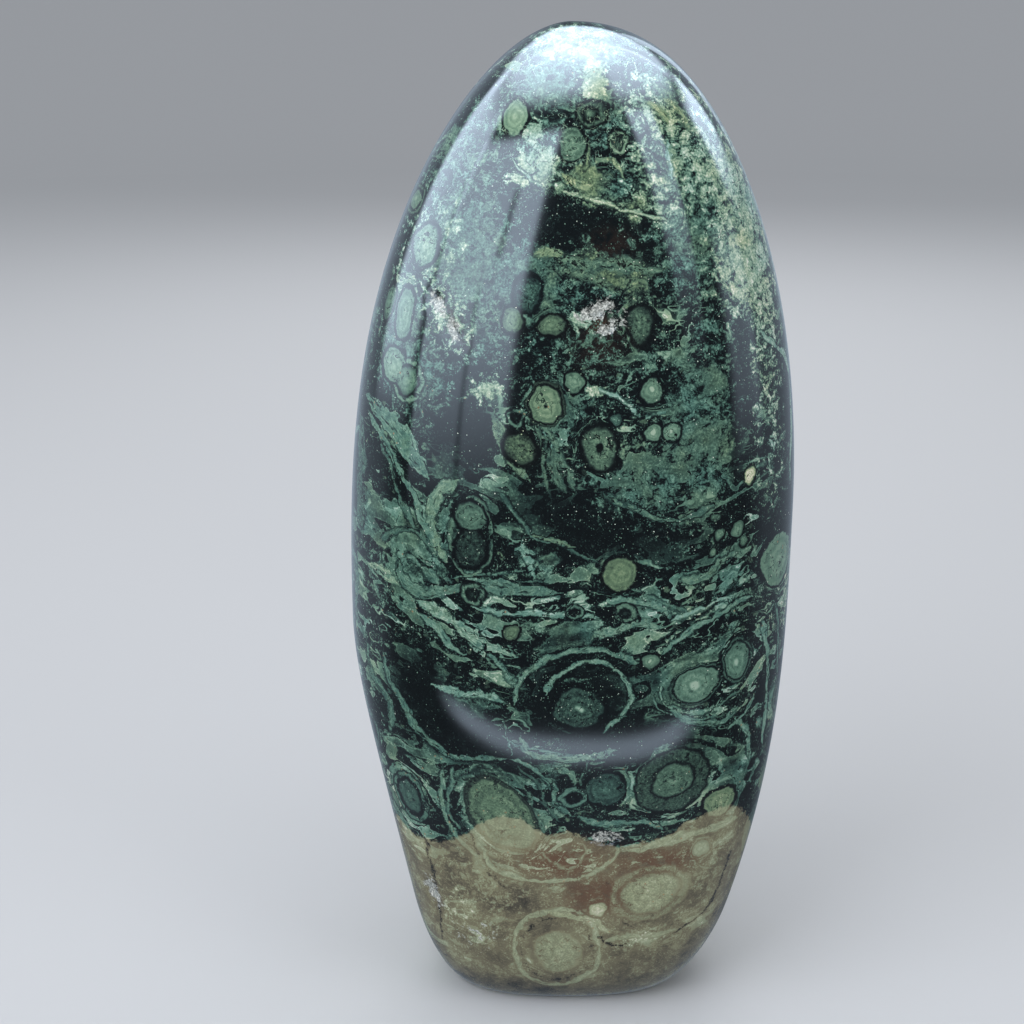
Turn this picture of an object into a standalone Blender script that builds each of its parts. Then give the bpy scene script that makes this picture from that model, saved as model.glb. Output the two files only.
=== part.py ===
"""A polished standing freeform of kambaba jasper, cut flat underneath.

The stone is one solid. Its outline is drawn by four flanks (left, right, front and back), each a
short formula with its own reach, and every level section is a superellipse through those flanks.
Metres, +Z up, +Y to the back, origin at the middle of the box's underside.
"""

import math
from dataclasses import dataclass

import bmesh
import bpy
from mathutils import Vector

MM = 0.001

# Driving dimensions, in millimetres
HEIGHT = 220.0
FOOT_TURN_HEIGHT = 22.0
FOOT_TURN_INSET = 7.5
FOOT_CUT = 0.6
TIP_RADIUS = 4.0
TIP_FADE = 9.0

# How gently the belly bends into the taper of the foot, as a share of the height below the widest level
BELLY_BEND = 0.2

# Squareness of the level sections: 2 is an ellipse, higher is flatter with tighter corners
FRONT_SQUARENESS = 2.6
BACK_SQUARENESS = 2.3

# How finely the solid is faceted, and how far the meridians crowd into the corners of a section
AROUND = 60
LEVELS = 38
CORNER_CROWDING = 0.08

STONE_NAME = "kambaba_jasper"
STONE_COLOUR = (0.018, 0.040, 0.030, 1.0)
STONE_ROUGHNESS = 0.12


@dataclass(frozen=True)
class Flank:
    """One side of the stone, as its distance from the axis at each height, in millimetres."""

    reach: float
    widest_at: float
    crown_power: float
    crown_root: float
    foot_reach: float
    belly_power: float

    def at(self, height: float) -> float:
        """Distance of the flank from the axis at a height above the base."""
        if height >= self.widest_at:
            rise = (height - self.widest_at) / (HEIGHT - self.widest_at)
            base = self.reach * max(0.0, 1.0 - rise**self.crown_power) ** (1.0 / self.crown_root)
        else:
            drop = (self.widest_at - height) / self.widest_at
            bent = math.hypot(drop, BELLY_BEND) - BELLY_BEND
            share = bent / (math.hypot(1.0, BELLY_BEND) - BELLY_BEND)
            base = self.foot_reach + (self.reach - self.foot_reach) * (1.0 - share**self.belly_power)
        return math.sqrt(base**2 + self._tip(height)) - self._foot_turn(height)

    @staticmethod
    def _tip(height: float) -> float:
        """Extra squared reach that rounds the very top."""
        below = HEIGHT - height
        return 2.0 * TIP_RADIUS * below * math.exp(-below / TIP_FADE)

    @staticmethod
    def _foot_turn(height: float) -> float:
        """How far the polished foot has turned in above the saw cut."""
        left = max(0.0, 1.0 - (height + FOOT_CUT) / (FOOT_TURN_HEIGHT + FOOT_CUT))
        return FOOT_TURN_INSET * (1.0 - math.sqrt(max(0.0, 1.0 - left**2)))


LEFT = Flank(47.8, 93.0, 2.6, 1.55, 30.8, 0.95)
RIGHT = Flank(49.5, 118.0, 2.05, 2.15, 32.0, 2.15)
FRONT = Flank(33.0, 92.0, 2.5, 1.9, 21.0, 1.4)
BACK = Flank(34.0, 98.0, 2.4, 1.9, 25.0, 1.4)


def surface_point(height: float, angle: float) -> Vector:
    """A point of the stone's skin, in millimetres, at a height and an angle round the axis."""
    left, right = LEFT.at(height), RIGHT.at(height)
    across, along = math.cos(angle), math.sin(angle)
    depth = BACK.at(height) if along > 0 else FRONT.at(height)
    power = 2.0 / (BACK_SQUARENESS if along > 0 else FRONT_SQUARENESS)
    x = (right - left) / 2 + (right + left) / 2 * math.copysign(abs(across) ** power, across)
    y = depth * math.copysign(abs(along) ** power, along)
    return Vector((x, y, height))


def section_angle(step: int) -> float:
    """Angle of one meridian, spread so that points are even along a squarish section."""
    turn = 2.0 * math.pi * step / AROUND
    return turn - CORNER_CROWDING * math.sin(4.0 * turn)


def level_heights() -> list[float]:
    """Heights of the level rings from the base upward, closer together at the foot and the tip."""
    spread = [0.5 - 0.5 * math.cos(math.pi * level / LEVELS) for level in range(LEVELS)]
    return [HEIGHT * share for share in spread]


def box_centre() -> Vector:
    """Middle of the stone's plan, which is moved onto the origin."""
    ring = [surface_point(h, section_angle(s)) for h in level_heights() for s in range(AROUND)]
    xs, ys = [p.x for p in ring], [p.y for p in ring]
    return Vector(((min(xs) + max(xs)) / 2, (min(ys) + max(ys)) / 2, 0.0))


def build_stone() -> bpy.types.Object:
    """Builds the stone by lofting its level rings, closing the tip and filling the sawn base."""
    centre = box_centre()
    mesh = bmesh.new()
    rings = []
    for height in level_heights():
        points = [(surface_point(height, section_angle(s)) - centre) * MM for s in range(AROUND)]
        rings.append([mesh.verts.new(point) for point in points])
    for low, high in zip(rings, rings[1:]):
        for step in range(AROUND):
            after = (step + 1) % AROUND
            mesh.faces.new((low[step], low[after], high[after], high[step]))
    tip = mesh.verts.new((Vector((0.0, 0.0, HEIGHT)) - centre) * MM)
    for step in range(AROUND):
        mesh.faces.new((rings[-1][step], rings[-1][(step + 1) % AROUND], tip))
    mesh.faces.new(list(reversed(rings[0])))
    bmesh.ops.triangulate(mesh, faces=[face for face in mesh.faces if len(face.verts) > 4])
    data = bpy.data.meshes.new(STONE_NAME)
    mesh.to_mesh(data)
    mesh.free()
    data.shade_smooth()
    data.set_sharp_from_angle(angle=math.radians(40.0))
    stone = bpy.data.objects.new(STONE_NAME, data)
    bpy.context.scene.collection.objects.link(stone)
    return stone


def stone_material() -> bpy.types.Material:
    """Polished green-black stone."""
    material = bpy.data.materials.new("polished_kambaba")
    material.use_nodes = True
    shader = material.node_tree.nodes["Principled BSDF"]
    shader.inputs["Base Color"].default_value = STONE_COLOUR
    shader.inputs["Roughness"].default_value = STONE_ROUGHNESS
    shader.inputs["Metallic"].default_value = 0.0
    return material


def main() -> None:
    """Clears the scene and builds the stone with its finish."""
    for thing in list(bpy.data.objects):
        bpy.data.objects.remove(thing, do_unlink=True)
    stone = build_stone()
    stone.data.materials.append(stone_material())


main()
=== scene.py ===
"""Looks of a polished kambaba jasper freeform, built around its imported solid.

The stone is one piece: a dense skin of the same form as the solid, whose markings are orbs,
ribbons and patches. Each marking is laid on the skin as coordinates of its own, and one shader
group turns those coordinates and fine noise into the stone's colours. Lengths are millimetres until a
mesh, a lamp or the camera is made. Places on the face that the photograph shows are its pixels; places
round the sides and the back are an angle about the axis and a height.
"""

import logging
import math
import random
from dataclasses import dataclass, field
from enum import Enum
from functools import cached_property
from typing import Union

import bpy
import numpy as np
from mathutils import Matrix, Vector
from mathutils.bvhtree import BVHTree


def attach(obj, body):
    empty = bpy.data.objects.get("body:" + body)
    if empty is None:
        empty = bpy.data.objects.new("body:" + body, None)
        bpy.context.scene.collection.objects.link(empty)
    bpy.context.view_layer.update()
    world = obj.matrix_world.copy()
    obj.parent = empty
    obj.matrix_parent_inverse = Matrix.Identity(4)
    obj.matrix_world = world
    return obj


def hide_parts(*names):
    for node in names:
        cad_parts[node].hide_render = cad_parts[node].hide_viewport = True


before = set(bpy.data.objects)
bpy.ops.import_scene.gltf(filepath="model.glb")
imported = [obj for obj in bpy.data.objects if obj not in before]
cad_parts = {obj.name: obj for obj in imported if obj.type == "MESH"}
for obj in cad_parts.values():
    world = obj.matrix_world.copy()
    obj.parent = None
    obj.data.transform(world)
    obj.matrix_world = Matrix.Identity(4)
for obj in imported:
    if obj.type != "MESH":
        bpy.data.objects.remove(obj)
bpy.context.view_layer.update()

MM = 0.001
NODE = "kambaba_jasper"
BODY = "root"
log = logging.getLogger("kambaba")


# Form of the stone


@dataclass(frozen=True)
class Flank:
    """One side of the stone, as its distance from the axis at each height, in millimetres."""

    reach: float
    widest_at: float
    crown_power: float
    crown_root: float
    foot_reach: float
    belly_power: float

    def at(self, heights: np.ndarray, form: "StoneForm") -> np.ndarray:
        """Gives the flank's distance from the axis.

        Args:
            heights: heights above the base.
            form: the stone whose shared values round the tip, the belly and the foot.

        Returns:
            One distance for each height.
        """
        rise = np.clip((heights - self.widest_at) / (form.height - self.widest_at), 0.0, 1.0)
        crown = self.reach * np.maximum(0.0, 1.0 - rise**self.crown_power) ** (1.0 / self.crown_root)
        drop = np.clip((self.widest_at - heights) / self.widest_at, 0.0, 1.0)
        bent = np.hypot(drop, form.belly_bend) - form.belly_bend
        share = bent / (math.hypot(1.0, form.belly_bend) - form.belly_bend)
        belly = self.foot_reach + (self.reach - self.foot_reach) * (1.0 - share**self.belly_power)
        below = form.height - heights
        tip = 2.0 * form.tip_radius * below * np.exp(-below / form.tip_fade)
        left = np.maximum(0.0, 1.0 - (heights + form.foot_cut) / (form.foot_turn_height + form.foot_cut))
        foot_turn = form.foot_turn_inset * (1.0 - np.sqrt(np.maximum(0.0, 1.0 - left**2)))
        return np.sqrt(np.where(heights >= self.widest_at, crown, belly) ** 2 + tip) - foot_turn


@dataclass(frozen=True)
class StoneForm:
    """The stone's outer form, with the same values as the solid's source."""

    height: float = 220.0
    foot_turn_height: float = 22.0
    foot_turn_inset: float = 7.5
    foot_cut: float = 0.6
    tip_radius: float = 4.0
    tip_fade: float = 9.0
    belly_bend: float = 0.2
    front_squareness: float = 2.6
    back_squareness: float = 2.3
    left: Flank = Flank(47.8, 93.0, 2.6, 1.55, 30.8, 0.95)
    right: Flank = Flank(49.5, 118.0, 2.05, 2.15, 32.0, 2.15)
    front: Flank = Flank(33.0, 92.0, 2.5, 1.9, 21.0, 1.4)
    back: Flank = Flank(34.0, 98.0, 2.4, 1.9, 25.0, 1.4)

    def raw_points(self, heights: np.ndarray, angles: np.ndarray) -> np.ndarray:
        """Points of the skin before the plan is centred on the origin.

        Args:
            heights: heights above the base, any shape.
            angles: angles round the axis in radians, 0 to the right and a quarter turn to the back.

        Returns:
            An array of the shared shape with a last axis of three.
        """
        heights, angles = np.broadcast_arrays(heights.astype(float), angles.astype(float))
        left, right = self.left.at(heights, self), self.right.at(heights, self)
        across, along = np.cos(angles), np.sin(angles)
        depth = np.where(along > 0, self.back.at(heights, self), self.front.at(heights, self))
        power = 2.0 / np.where(along > 0, self.back_squareness, self.front_squareness)
        x = (right - left) / 2 + (right + left) / 2 * np.sign(across) * np.abs(across) ** power
        y = depth * np.sign(along) * np.abs(along) ** power
        return np.stack([x, y, heights], axis=-1)

    @cached_property
    def centre(self) -> np.ndarray:
        """Middle of the plan, which is moved onto the origin.

        Returns:
            The middle in millimetres, on the plane of the base.
        """
        heights = np.linspace(0.0, self.height * 0.999, 400)[:, None]
        angles = np.linspace(0.0, 2.0 * math.pi, 721)[None, :]
        points = self.raw_points(heights, angles).reshape(-1, 3)
        middle = (points.min(axis=0) + points.max(axis=0)) / 2
        return np.array([middle[0], middle[1], 0.0])

    def points(self, heights: np.ndarray, angles: np.ndarray) -> np.ndarray:
        """Points of the skin in the stone's own frame, in millimetres."""
        return self.raw_points(heights, angles) - self.centre


@dataclass(frozen=True)
class PhotoView:
    """The camera at the photograph's viewing angle, in millimetres and degrees."""

    side: float = -12.9
    back: float = 368.0
    height: float = 237.0
    pitch: float = 18.4
    lens: float = 61.2
    sensor: float = 36.0
    frame_px: float = 1024.0

    def axes(self) -> tuple[np.ndarray, np.ndarray, np.ndarray]:
        """Directions of the camera.

        Returns:
            Its right, up and forward directions.
        """
        tilt = math.radians(self.pitch)
        forward = np.array([0.0, math.cos(tilt), -math.sin(tilt)])
        up = np.array([0.0, math.sin(tilt), math.cos(tilt)])
        return np.array([1.0, 0.0, 0.0]), up, forward

    def place(self) -> np.ndarray:
        """Where the camera stands."""
        return np.array([self.side, -self.back, self.height])

    def focal_px(self) -> float:
        """Focal length in pixels of the photograph's frame."""
        return self.lens / self.sensor * self.frame_px

    def ray(self, pixel: tuple[float, float]) -> np.ndarray:
        """Direction in which the camera sees a pixel.

        Args:
            pixel: column and row in the photograph.

        Returns:
            A unit vector.
        """
        right, up, forward = self.axes()
        half = self.frame_px / 2
        across = (pixel[0] - half) / self.focal_px()
        above = (half - pixel[1]) / self.focal_px()
        direction = forward + right * across + up * above
        return direction / np.linalg.norm(direction)

    def build(self) -> bpy.types.Object:
        """Makes the camera and sets it as the scene's own.

        Returns:
            The camera.
        """
        data = bpy.data.cameras.new("photo_view")
        data.lens = self.lens
        data.sensor_width = self.sensor
        data.clip_start = 0.01
        data.clip_end = 50.0
        camera = bpy.data.objects.new("photo_view", data)
        camera.location = Vector(self.place() * MM)
        camera.rotation_euler = (math.radians(90.0 - self.pitch), 0.0, 0.0)
        bpy.context.scene.collection.objects.link(camera)
        bpy.context.scene.camera = camera
        return camera


# Markings


class On(Enum):
    """How a marking's place is given."""

    PHOTO = "pixels of the photograph"
    ROUND = "angle about the axis in degrees, and height in millimetres"


class Kind(Enum):
    """What a granular patch is made of, and the attribute channel that carries its density. One band of the
    black kind is painted shade.
    """

    GREEN = ("grains_a", 0)
    OLIVE = ("grains_a", 1)
    PALE = ("grains_a", 2)
    QUARTZ = ("grains_b", 0)
    # Black grains, and also the thin band of painted shade along the foot.
    BLACK_AND_SHADE = ("grains_b", 1)
    RUST = ("grains_b", 2)
    NET = ("zones", 1)
    HAIR = ("grains_c", 0)
    SPECK = ("grains_c", 1)


@dataclass(frozen=True)
class Orb:
    """A round or oval marking with a nucleus and a ring, inside a dark surround.

    Sizes are half widths and half heights on the stone. Nucleus and ring are shares of the half size.
    Tone runs from black at 0 to cream at 1, and warmth from blue-green at 0 to olive at 1.
    """

    at: tuple[float, float]
    half: tuple[float, float]
    tilt: float = 0.0
    nucleus: float = 0.85
    tone: float = 0.6
    warmth: float = 0.45
    ring: tuple[float, float] = (0.0, 0.0)
    ring_tone: float = 0.0
    dot: float = 0.0
    grain: float = 0.4
    on: On = On.PHOTO


@dataclass(frozen=True)
class Ribbon:
    """A drawn-out band or line that follows a smooth path over the stone."""

    path: tuple[tuple[float, float], ...]
    width: float
    tone: float = 0.5
    warmth: float = 0.2
    feather: float = 0.5
    on: On = On.PHOTO


def oval(centre: tuple[float, float], half: tuple[float, float], knots: int = 10) -> tuple:
    """A closed path round a centre."""
    turn = [2.0 * math.pi * i / knots for i in range(knots + 1)]
    return tuple((centre[0] + half[0] * math.cos(a), centre[1] - half[1] * math.sin(a)) for a in turn)


@dataclass(frozen=True)
class Patch:
    """A soft patch in which grains of one kind lie thick or thin."""

    at: tuple[float, float]
    half: tuple[float, float]
    kind: Kind
    density: float = 0.6
    tilt: float = 0.0
    on: On = On.PHOTO


def patch_group(kind: Kind, rows: tuple, on: On = On.PHOTO) -> tuple[Patch, ...]:
    """Makes patches of one kind.

    Args:
        kind: what they are made of.
        rows: place, half sizes, density and, where it leans, tilt of each.
        on: how the places are given.

    Returns:
        The patches.
    """
    return tuple(
        Patch((x, y), (wide, high), kind, density, *tilt, on=on) for x, y, wide, high, density, *tilt in rows
    )


@dataclass(frozen=True)
class Markings:
    """Everything that is placed one by one on the face that the photograph shows."""

    brown_edge: tuple[tuple[float, float], ...] = (
        (398, 815), (415, 835), (440, 842), (465, 835), (478, 825), (497, 815), (520, 818), (545, 835),
        (565, 832), (593, 841), (621, 846), (643, 843), (666, 838), (684, 824), (701, 816), (725, 806),
        (739, 806), (748, 816),
    )
    drift: tuple[tuple[float, float], ...] = (
        (354, 540), (385, 575), (431, 605), (480, 630), (530, 638), (600, 622), (660, 612), (720, 592),
        (780, 550),
    )
    brown_edge_round: tuple[tuple[float, float], ...] = (
        (340, 44.0), (0, 40.0), (30, 46.0), (60, 38.0), (90, 43.0), (120, 52.0), (150, 45.0), (175, 48.0),
        (195, 45.0),
    )
    orbs: tuple[Orb, ...] = (
        Orb((545, 404), (4, 4.6), nucleus=0.84, tone=0.66, warmth=0.75, ring=(0.95, 1.0), ring_tone=0.6,
            dot=-0.06),
        Orb((521, 448), (3.2, 3.8), tilt=35, tone=0.48, warmth=0.85, grain=1.3),
        Orb((517, 415), (2, 2.1), nucleus=0.3, tone=0.1, warmth=0.3, ring=(0.55, 0.9), ring_tone=0.6),
        Orb((576, 382), (2.4, 2.5), tone=0.62, warmth=0.5),
        Orb((652, 391), (2.7, 2.7), nucleus=0.88, tone=0.62, dot=0.22),
        Orb((653, 435), (2.1, 2.1), nucleus=0.9, tone=0.64, dot=0.3),
        Orb((673, 433), (2.1, 2.2), nucleus=0.9, tone=0.66, warmth=0.4, dot=0.25),
        Orb((616, 421), (1.4, 1.4), tone=0.5, warmth=0.2),
        Orb((600, 450), (3.6, 5), tilt=15, nucleus=0.9, tone=0.54, warmth=0.6, dot=-0.2, grain=1.3),
        Orb((513, 323), (2.2, 3.1), tone=0.58, warmth=0.75, grain=0.6),
        Orb((551, 326), (3.3, 2.2), tone=0.56, warmth=0.75, grain=0.6),
        Orb((641, 326), (2.8, 3.9), nucleus=0.88, tone=0.46, warmth=0.6, grain=1.4),
        Orb((527, 295), (2.8, 3.6), nucleus=0.9, tone=0.4, warmth=0.15, grain=1.4),
        Orb((620, 573), (3.8, 3.8), nucleus=0.92, warmth=0.9),
        Orb((470, 517), (3.5, 3.6), nucleus=0.88, tone=0.54, warmth=0.4, grain=0.5),
        Orb((471, 549), (3.6, 4.6), tone=0.3, warmth=0.4, grain=1.0),
        Orb((473, 594), (2.8, 2.6), nucleus=0.5, tone=0.18, warmth=0.4, ring=(0.62, 0.95), ring_tone=0.62,
            grain=0.7),
        Orb((512, 634), (2, 1.8), tone=0.55, warmth=0.8),
        Orb((575, 611), (1.9, 1.6), nucleus=0.4, tone=0.12, warmth=0.3, ring=(0.6, 0.95), ring_tone=0.6),
        Orb((625, 613), (2.6, 2.4), nucleus=0.45, tone=0.2, warmth=0.4, ring=(0.55, 0.95), ring_tone=0.62),
        Orb((650, 662), (2, 2), dot=0.2),
        Orb((579, 709), (6, 5), nucleus=0.9, tone=0.4, warmth=0.3, dot=0.1, grain=1.0),
        Orb((737, 661), (4.2, 5.6), tilt=-8, nucleus=0.8, warmth=0.3, ring=(0.88, 0.98), ring_tone=0.5,
            dot=0.15),
        Orb((696, 685), (6.4, 4.3), tilt=15, nucleus=0.84, tone=0.62, warmth=0.35, ring=(0.92, 1.0),
            ring_tone=0.5, dot=0.2),
        Orb((410, 796), (5.2, 6.4), nucleus=0.62, tone=0.42, warmth=0.2, ring=(0.78, 0.98), ring_tone=0.55),
        Orb((374, 727), (3.2, 4.6), nucleus=0.4, tone=0.12, warmth=0.2, ring=(0.6, 0.92), ring_tone=0.55),
        Orb((605, 790), (4.6, 4.6), tone=0.4, warmth=0.15, grain=0.6),
        Orb((573, 798), (3.4, 2.6), nucleus=0.42, tone=0.06, warmth=0.15, ring=(0.6, 1.0), ring_tone=0.6),
        Orb((673, 781), (8.8, 7.6), tilt=25, nucleus=0.54, tone=0.52, warmth=0.5, ring=(0.6, 0.98),
            ring_tone=0.4, grain=0.9),
        Orb((720, 801), (4.6, 4.2), nucleus=0.86, tone=0.68, warmth=0.9),
        Orb((501, 815), (6.8, 10.6), tilt=32, nucleus=0.92, tone=0.56, warmth=0.75, ring=(0.95, 1.0),
            ring_tone=0.5, grain=1.0),
        Orb((650, 893), (9.6, 8), tilt=15, nucleus=0.7, tone=0.66, warmth=0.95, ring=(0.78, 0.97),
            ring_tone=0.52, grain=1.5),
        Orb((702, 848), (2.9, 3.2), nucleus=0.75, tone=0.64, warmth=0.5, ring=(0.85, 1.0), ring_tone=0.6),
        Orb((599, 909), (2.3, 2.3), nucleus=0.8, tone=0.82, warmth=0.95),
        Orb((558, 952), (6.2, 7.4), warmth=0.85, grain=1.6),
        Orb((572, 144), (3, 3.8), nucleus=0.9, tone=0.58, warmth=0.5, grain=0.7),
        Orb((516, 119), (2.8, 4.4), nucleus=0.88, tone=0.72, warmth=0.55, grain=0.3),
        Orb((618, 144), (2.2, 2.2), nucleus=0.5, tone=0.4, warmth=0.6, ring=(0.6, 0.95), ring_tone=0.72),
        Orb((592, 113), (3, 2.6), nucleus=0.4, tone=0.5, warmth=0.6, ring=(0.65, 0.92), ring_tone=0.55,
            grain=1.0),
        Orb((405, 311), (2.8, 5.6), tone=0.62),
        Orb((390, 300), (2.2, 4.4), tone=0.55, warmth=0.5),
        Orb((394, 366), (3.6, 4.4), nucleus=0.88, tone=0.66),
        Orb((407, 380), (4.2, 4.3), nucleus=0.7, warmth=0.4, ring=(0.8, 1.0), ring_tone=0.68),
        Orb((425, 245), (3.6, 4.8), tone=0.68, grain=0.9),
        Orb((720, 533), (1.4, 1.3)),
        Orb((738, 530), (1.7, 2)),
        Orb((745, 541), (1.5, 1.5), tone=0.56),
        Orb((713, 551), (1.1, 1.1), warmth=0.5),
        Orb((716, 517), (1, 1), tone=0.55, warmth=0.5),
        Orb((779, 558), (7, 6.4), nucleus=0.92, tone=0.64, grain=0.2),
        Orb((750, 474), (1.5, 2.2), nucleus=0.9, tone=0.95, warmth=0.9, grain=0.6),
    )
    ribbons: tuple[Ribbon, ...] = (
        Ribbon(oval((471, 537), (20, 39)), 1.1, 0.5, 0.4),
        Ribbon(oval((557, 947), (43, 38)), 1.3, 0.62, 0.6),
        Ribbon(oval((557, 948), (36, 31)), 0.5, -0.12, 0.4, 0.8),
        Ribbon(((607, 880), (610, 905), (628, 925), (655, 931), (684, 919)), 0.5, -0.1, 0.4),
        Ribbon(((470, 832), (482, 858), (497, 880), (514, 898)), 0.8, -0.08, 0.3, 0.8),
        Ribbon(((532, 257), (548, 255), (566, 258)), 2, 0.62, 0.85, 0.9),
        Ribbon(((550, 259), (580, 266), (608, 268), (640, 268), (668, 266)), 2.6, 0.5, 0.5, 1.3),
        Ribbon(((560, 270), (590, 276), (612, 285)), 1.8, 0.5, 0.6, 1.3),
        Ribbon(((495, 412), (499, 438), (511, 460), (532, 482)), 2, 0.55, 0.6),
        Ribbon(((530, 413), (540, 440), (545, 465), (548, 490)), 1, 0.52, 0.5, 0.9),
        Ribbon(((535, 416), (552, 440), (566, 465), (576, 490)), 1.5, 0.5, 0.4, 0.9),
        Ribbon(((545, 440), (556, 465), (566, 492)), 3.2, 0.42, 0.4, 0.7),
        Ribbon(((540, 425), (550, 445), (560, 470), (570, 490)), 0.4, 0.75, 0, 0.9),
        Ribbon(((556, 382), (566, 398), (572, 412), (570, 430)), 1, 0.42, 0.2, 0.9),
        Ribbon(((572, 410), (590, 405), (598, 396)), 0.8, 0.45, 0.3, 0.9),
        Ribbon(((594, 388), (612, 396), (630, 406), (641, 416)), 0.9, 0.82, 0.1, 0.8),
        Ribbon(((641, 416), (655, 415), (668, 411)), 0.4, 0.7, 0.1, 0.6),
        Ribbon(((607, 497), (630, 507), (660, 518), (690, 516), (715, 505)), 1.4, 0.5, 0.3),
        Ribbon(((600, 494), (622, 503), (645, 512)), 1.6, 0.4, 0.15, 0.8),
        Ribbon(((760, 330), (786, 360), (791, 420), (790, 480)), 1.6, 0.72),
        Ribbon(((390, 240), (405, 262), (425, 285), (446, 305), (458, 330)), 0.5, 0.05),
        Ribbon(((366, 394), (384, 416), (405, 446), (430, 480)), 4.2, 0.54, 0.2, 0.35),
        Ribbon(((372, 404), (384, 428), (400, 458), (414, 480)), 0.4, 0.03, 0.2, 0.3),
        Ribbon(((368, 410), (384, 440), (400, 468), (416, 496), (422, 520), (442, 548)), 2, 0.56),
        Ribbon(((390, 448), (402, 470), (414, 492), (418, 512)), 0.5, 0.84, 0.2, 0.7),
        Ribbon(((380, 440), (392, 470), (402, 502), (414, 524), (430, 545)), 1.4, 0.46),
        Ribbon(((360, 410), (362, 450), (360, 490), (362, 540)), 5, 0.42, 0.25, 1.2),
        Ribbon(((380, 540), (394, 530), (412, 528), (424, 538), (440, 560)), 1.2, 0.46),
        Ribbon(((458, 478), (440, 490), (430, 510), (434, 536), (448, 565)), 2.4, 0.6, 0.45),
        Ribbon(((350, 540), (358, 575), (356, 610), (366, 640)), 2.4, 0.5, 0.2, 0.9),
        Ribbon(((365, 560), (382, 572), (398, 586)), 2.4, 0.7, 0.5, 0.9),
        Ribbon(((399, 560), (400, 574), (412, 590), (430, 594), (456, 586), (480, 584)), 2.2, 0.5, 0.25),
        Ribbon(((402, 558), (414, 560), (428, 574), (442, 586)), 1.2),
        Ribbon(((470, 583), (500, 588), (530, 590), (560, 592)), 2.4, 0.52),
        Ribbon(((448, 577), (490, 575), (530, 570)), 0.7),
        Ribbon(((455, 580), (520, 583), (580, 588), (612, 594)), 0.5, 0.02, 0.2, 0.3),
        Ribbon(((417, 602), (440, 612), (462, 628), (485, 642), (515, 655)), 3.4, 0.68, 0.3, 0.7),
        Ribbon(((420, 612), (436, 628), (450, 645), (468, 655)), 1.6, 0.6),
        Ribbon(((470, 606), (500, 612), (545, 615), (600, 618)), 1.1, 0.66, 0.1),
        Ribbon(((490, 612), (530, 612), (575, 618), (595, 616)), 0.7, 0.8, 0.1, 0.7),
        Ribbon(((523, 540), (524, 552), (530, 566), (534, 578)), 1.6, 0.66, 0.1, 0.6),
        Ribbon(((512, 548), (523, 550), (538, 556)), 1.2, 0.64, 0.1, 0.6),
        Ribbon(((500, 490), (516, 515), (540, 540), (565, 548), (598, 562)), 0.8, 0.45),
        Ribbon(((530, 532), (550, 540), (575, 548)), 1.4, 0.56, 0.6),
        Ribbon(((635, 560), (648, 563), (662, 568)), 0.9, 0.6, 0.3),
        Ribbon(((678, 582), (705, 578), (725, 560), (738, 552)), 1.4, 0.56, 0.35),
        Ribbon(((670, 622), (690, 614), (712, 603), (735, 596)), 0.8, 0.76, 0.15),
        Ribbon(((660, 655), (680, 638), (700, 625), (735, 603), (752, 596)), 1.1, 0.6),
        Ribbon(((650, 648), (680, 628), (705, 612), (730, 592), (756, 583)), 0.6, 0.02, 0.2, 0.3),
        Ribbon(((590, 640), (612, 630), (640, 622), (665, 626)), 2.6, 0.6, 0.3, 0.9),
        Ribbon(((600, 602), (625, 600), (655, 605), (672, 618)), 1.2, 0.58),
        Ribbon(((610, 585), (640, 592), (668, 606), (690, 612)), 0.6),
        Ribbon(((511, 706), (522, 677), (552, 657), (580, 650), (606, 651), (640, 664)), 1.3, 0.58, 0.25),
        Ribbon(((543, 696), (556, 677), (585, 661), (612, 666), (628, 681), (631, 698), (622, 716),
            (604, 732)), 1.2, 0.62),
        Ribbon(((560, 686), (575, 680), (596, 684)), 0.5, 0.6, 0.3, 1.1),
        Ribbon(((520, 735), (530, 752), (560, 758), (596, 757), (618, 750)), 1.6, 0.55, 0.4),
        Ribbon(((443, 768), (440, 790), (445, 815), (455, 835), (480, 858)), 1.2, 0.58, 0.3),
        Ribbon(((462, 775), (480, 765), (505, 772), (524, 790), (534, 815), (545, 835)), 1, 0.5, 0.3, 0.9),
        Ribbon(((662, 684), (666, 702), (684, 712), (708, 710), (722, 698)), 1, 0.66),
        Ribbon(((668, 708), (690, 722), (720, 722), (738, 706)), 1.3, 0.56),
        Ribbon(((645, 765), (660, 755), (680, 752), (700, 762)), 2.6, 0.5, 0.4, 1.0),
        Ribbon(((430, 682), (450, 690), (480, 695), (505, 702)), 2, 0.66, 0.15, 0.8),
        Ribbon(((480, 640), (505, 672), (520, 690)), 1.4, 0.58, 0.15, 0.8),
        Ribbon(((505, 720), (510, 740), (540, 750), (580, 757), (615, 755)), 0.8),
        Ribbon(((660, 700), (690, 712), (715, 706), (740, 690)), 0.7),
        Ribbon(((655, 692), (660, 708), (690, 720), (720, 716)), 0.6, 0.56, 0.15),
        Ribbon(((725, 730), (745, 712), (757, 690)), 1.2, 0.6, 0.15),
        Ribbon(((735, 715), (745, 735), (750, 760)), 1.2, 0.6, 0.15),
        Ribbon(((762, 620), (768, 660), (766, 700), (762, 745)), 1.3, 0.64, 0.15),
        Ribbon(((775, 600), (778, 640), (776, 690)), 0.9, 0.5, 0.15),
        Ribbon(((384, 650), (390, 678), (404, 708), (425, 738), (462, 757), (508, 758)), 1.5, 0.52, 0.15),
        Ribbon(((366, 640), (372, 672), (388, 700), (390, 732)), 1.6, 0.5, 0.2, 0.8),
        Ribbon(((508, 758), (508, 744), (500, 733)), 0.6, 0.5, 0.15),
        Ribbon(((508, 758), (530, 765), (550, 785), (556, 805), (575, 816)), 1.2, 0.56, 0.15),
        Ribbon(((552, 770), (570, 772), (576, 786)), 1.6, 0.56, 0.3),
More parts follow.
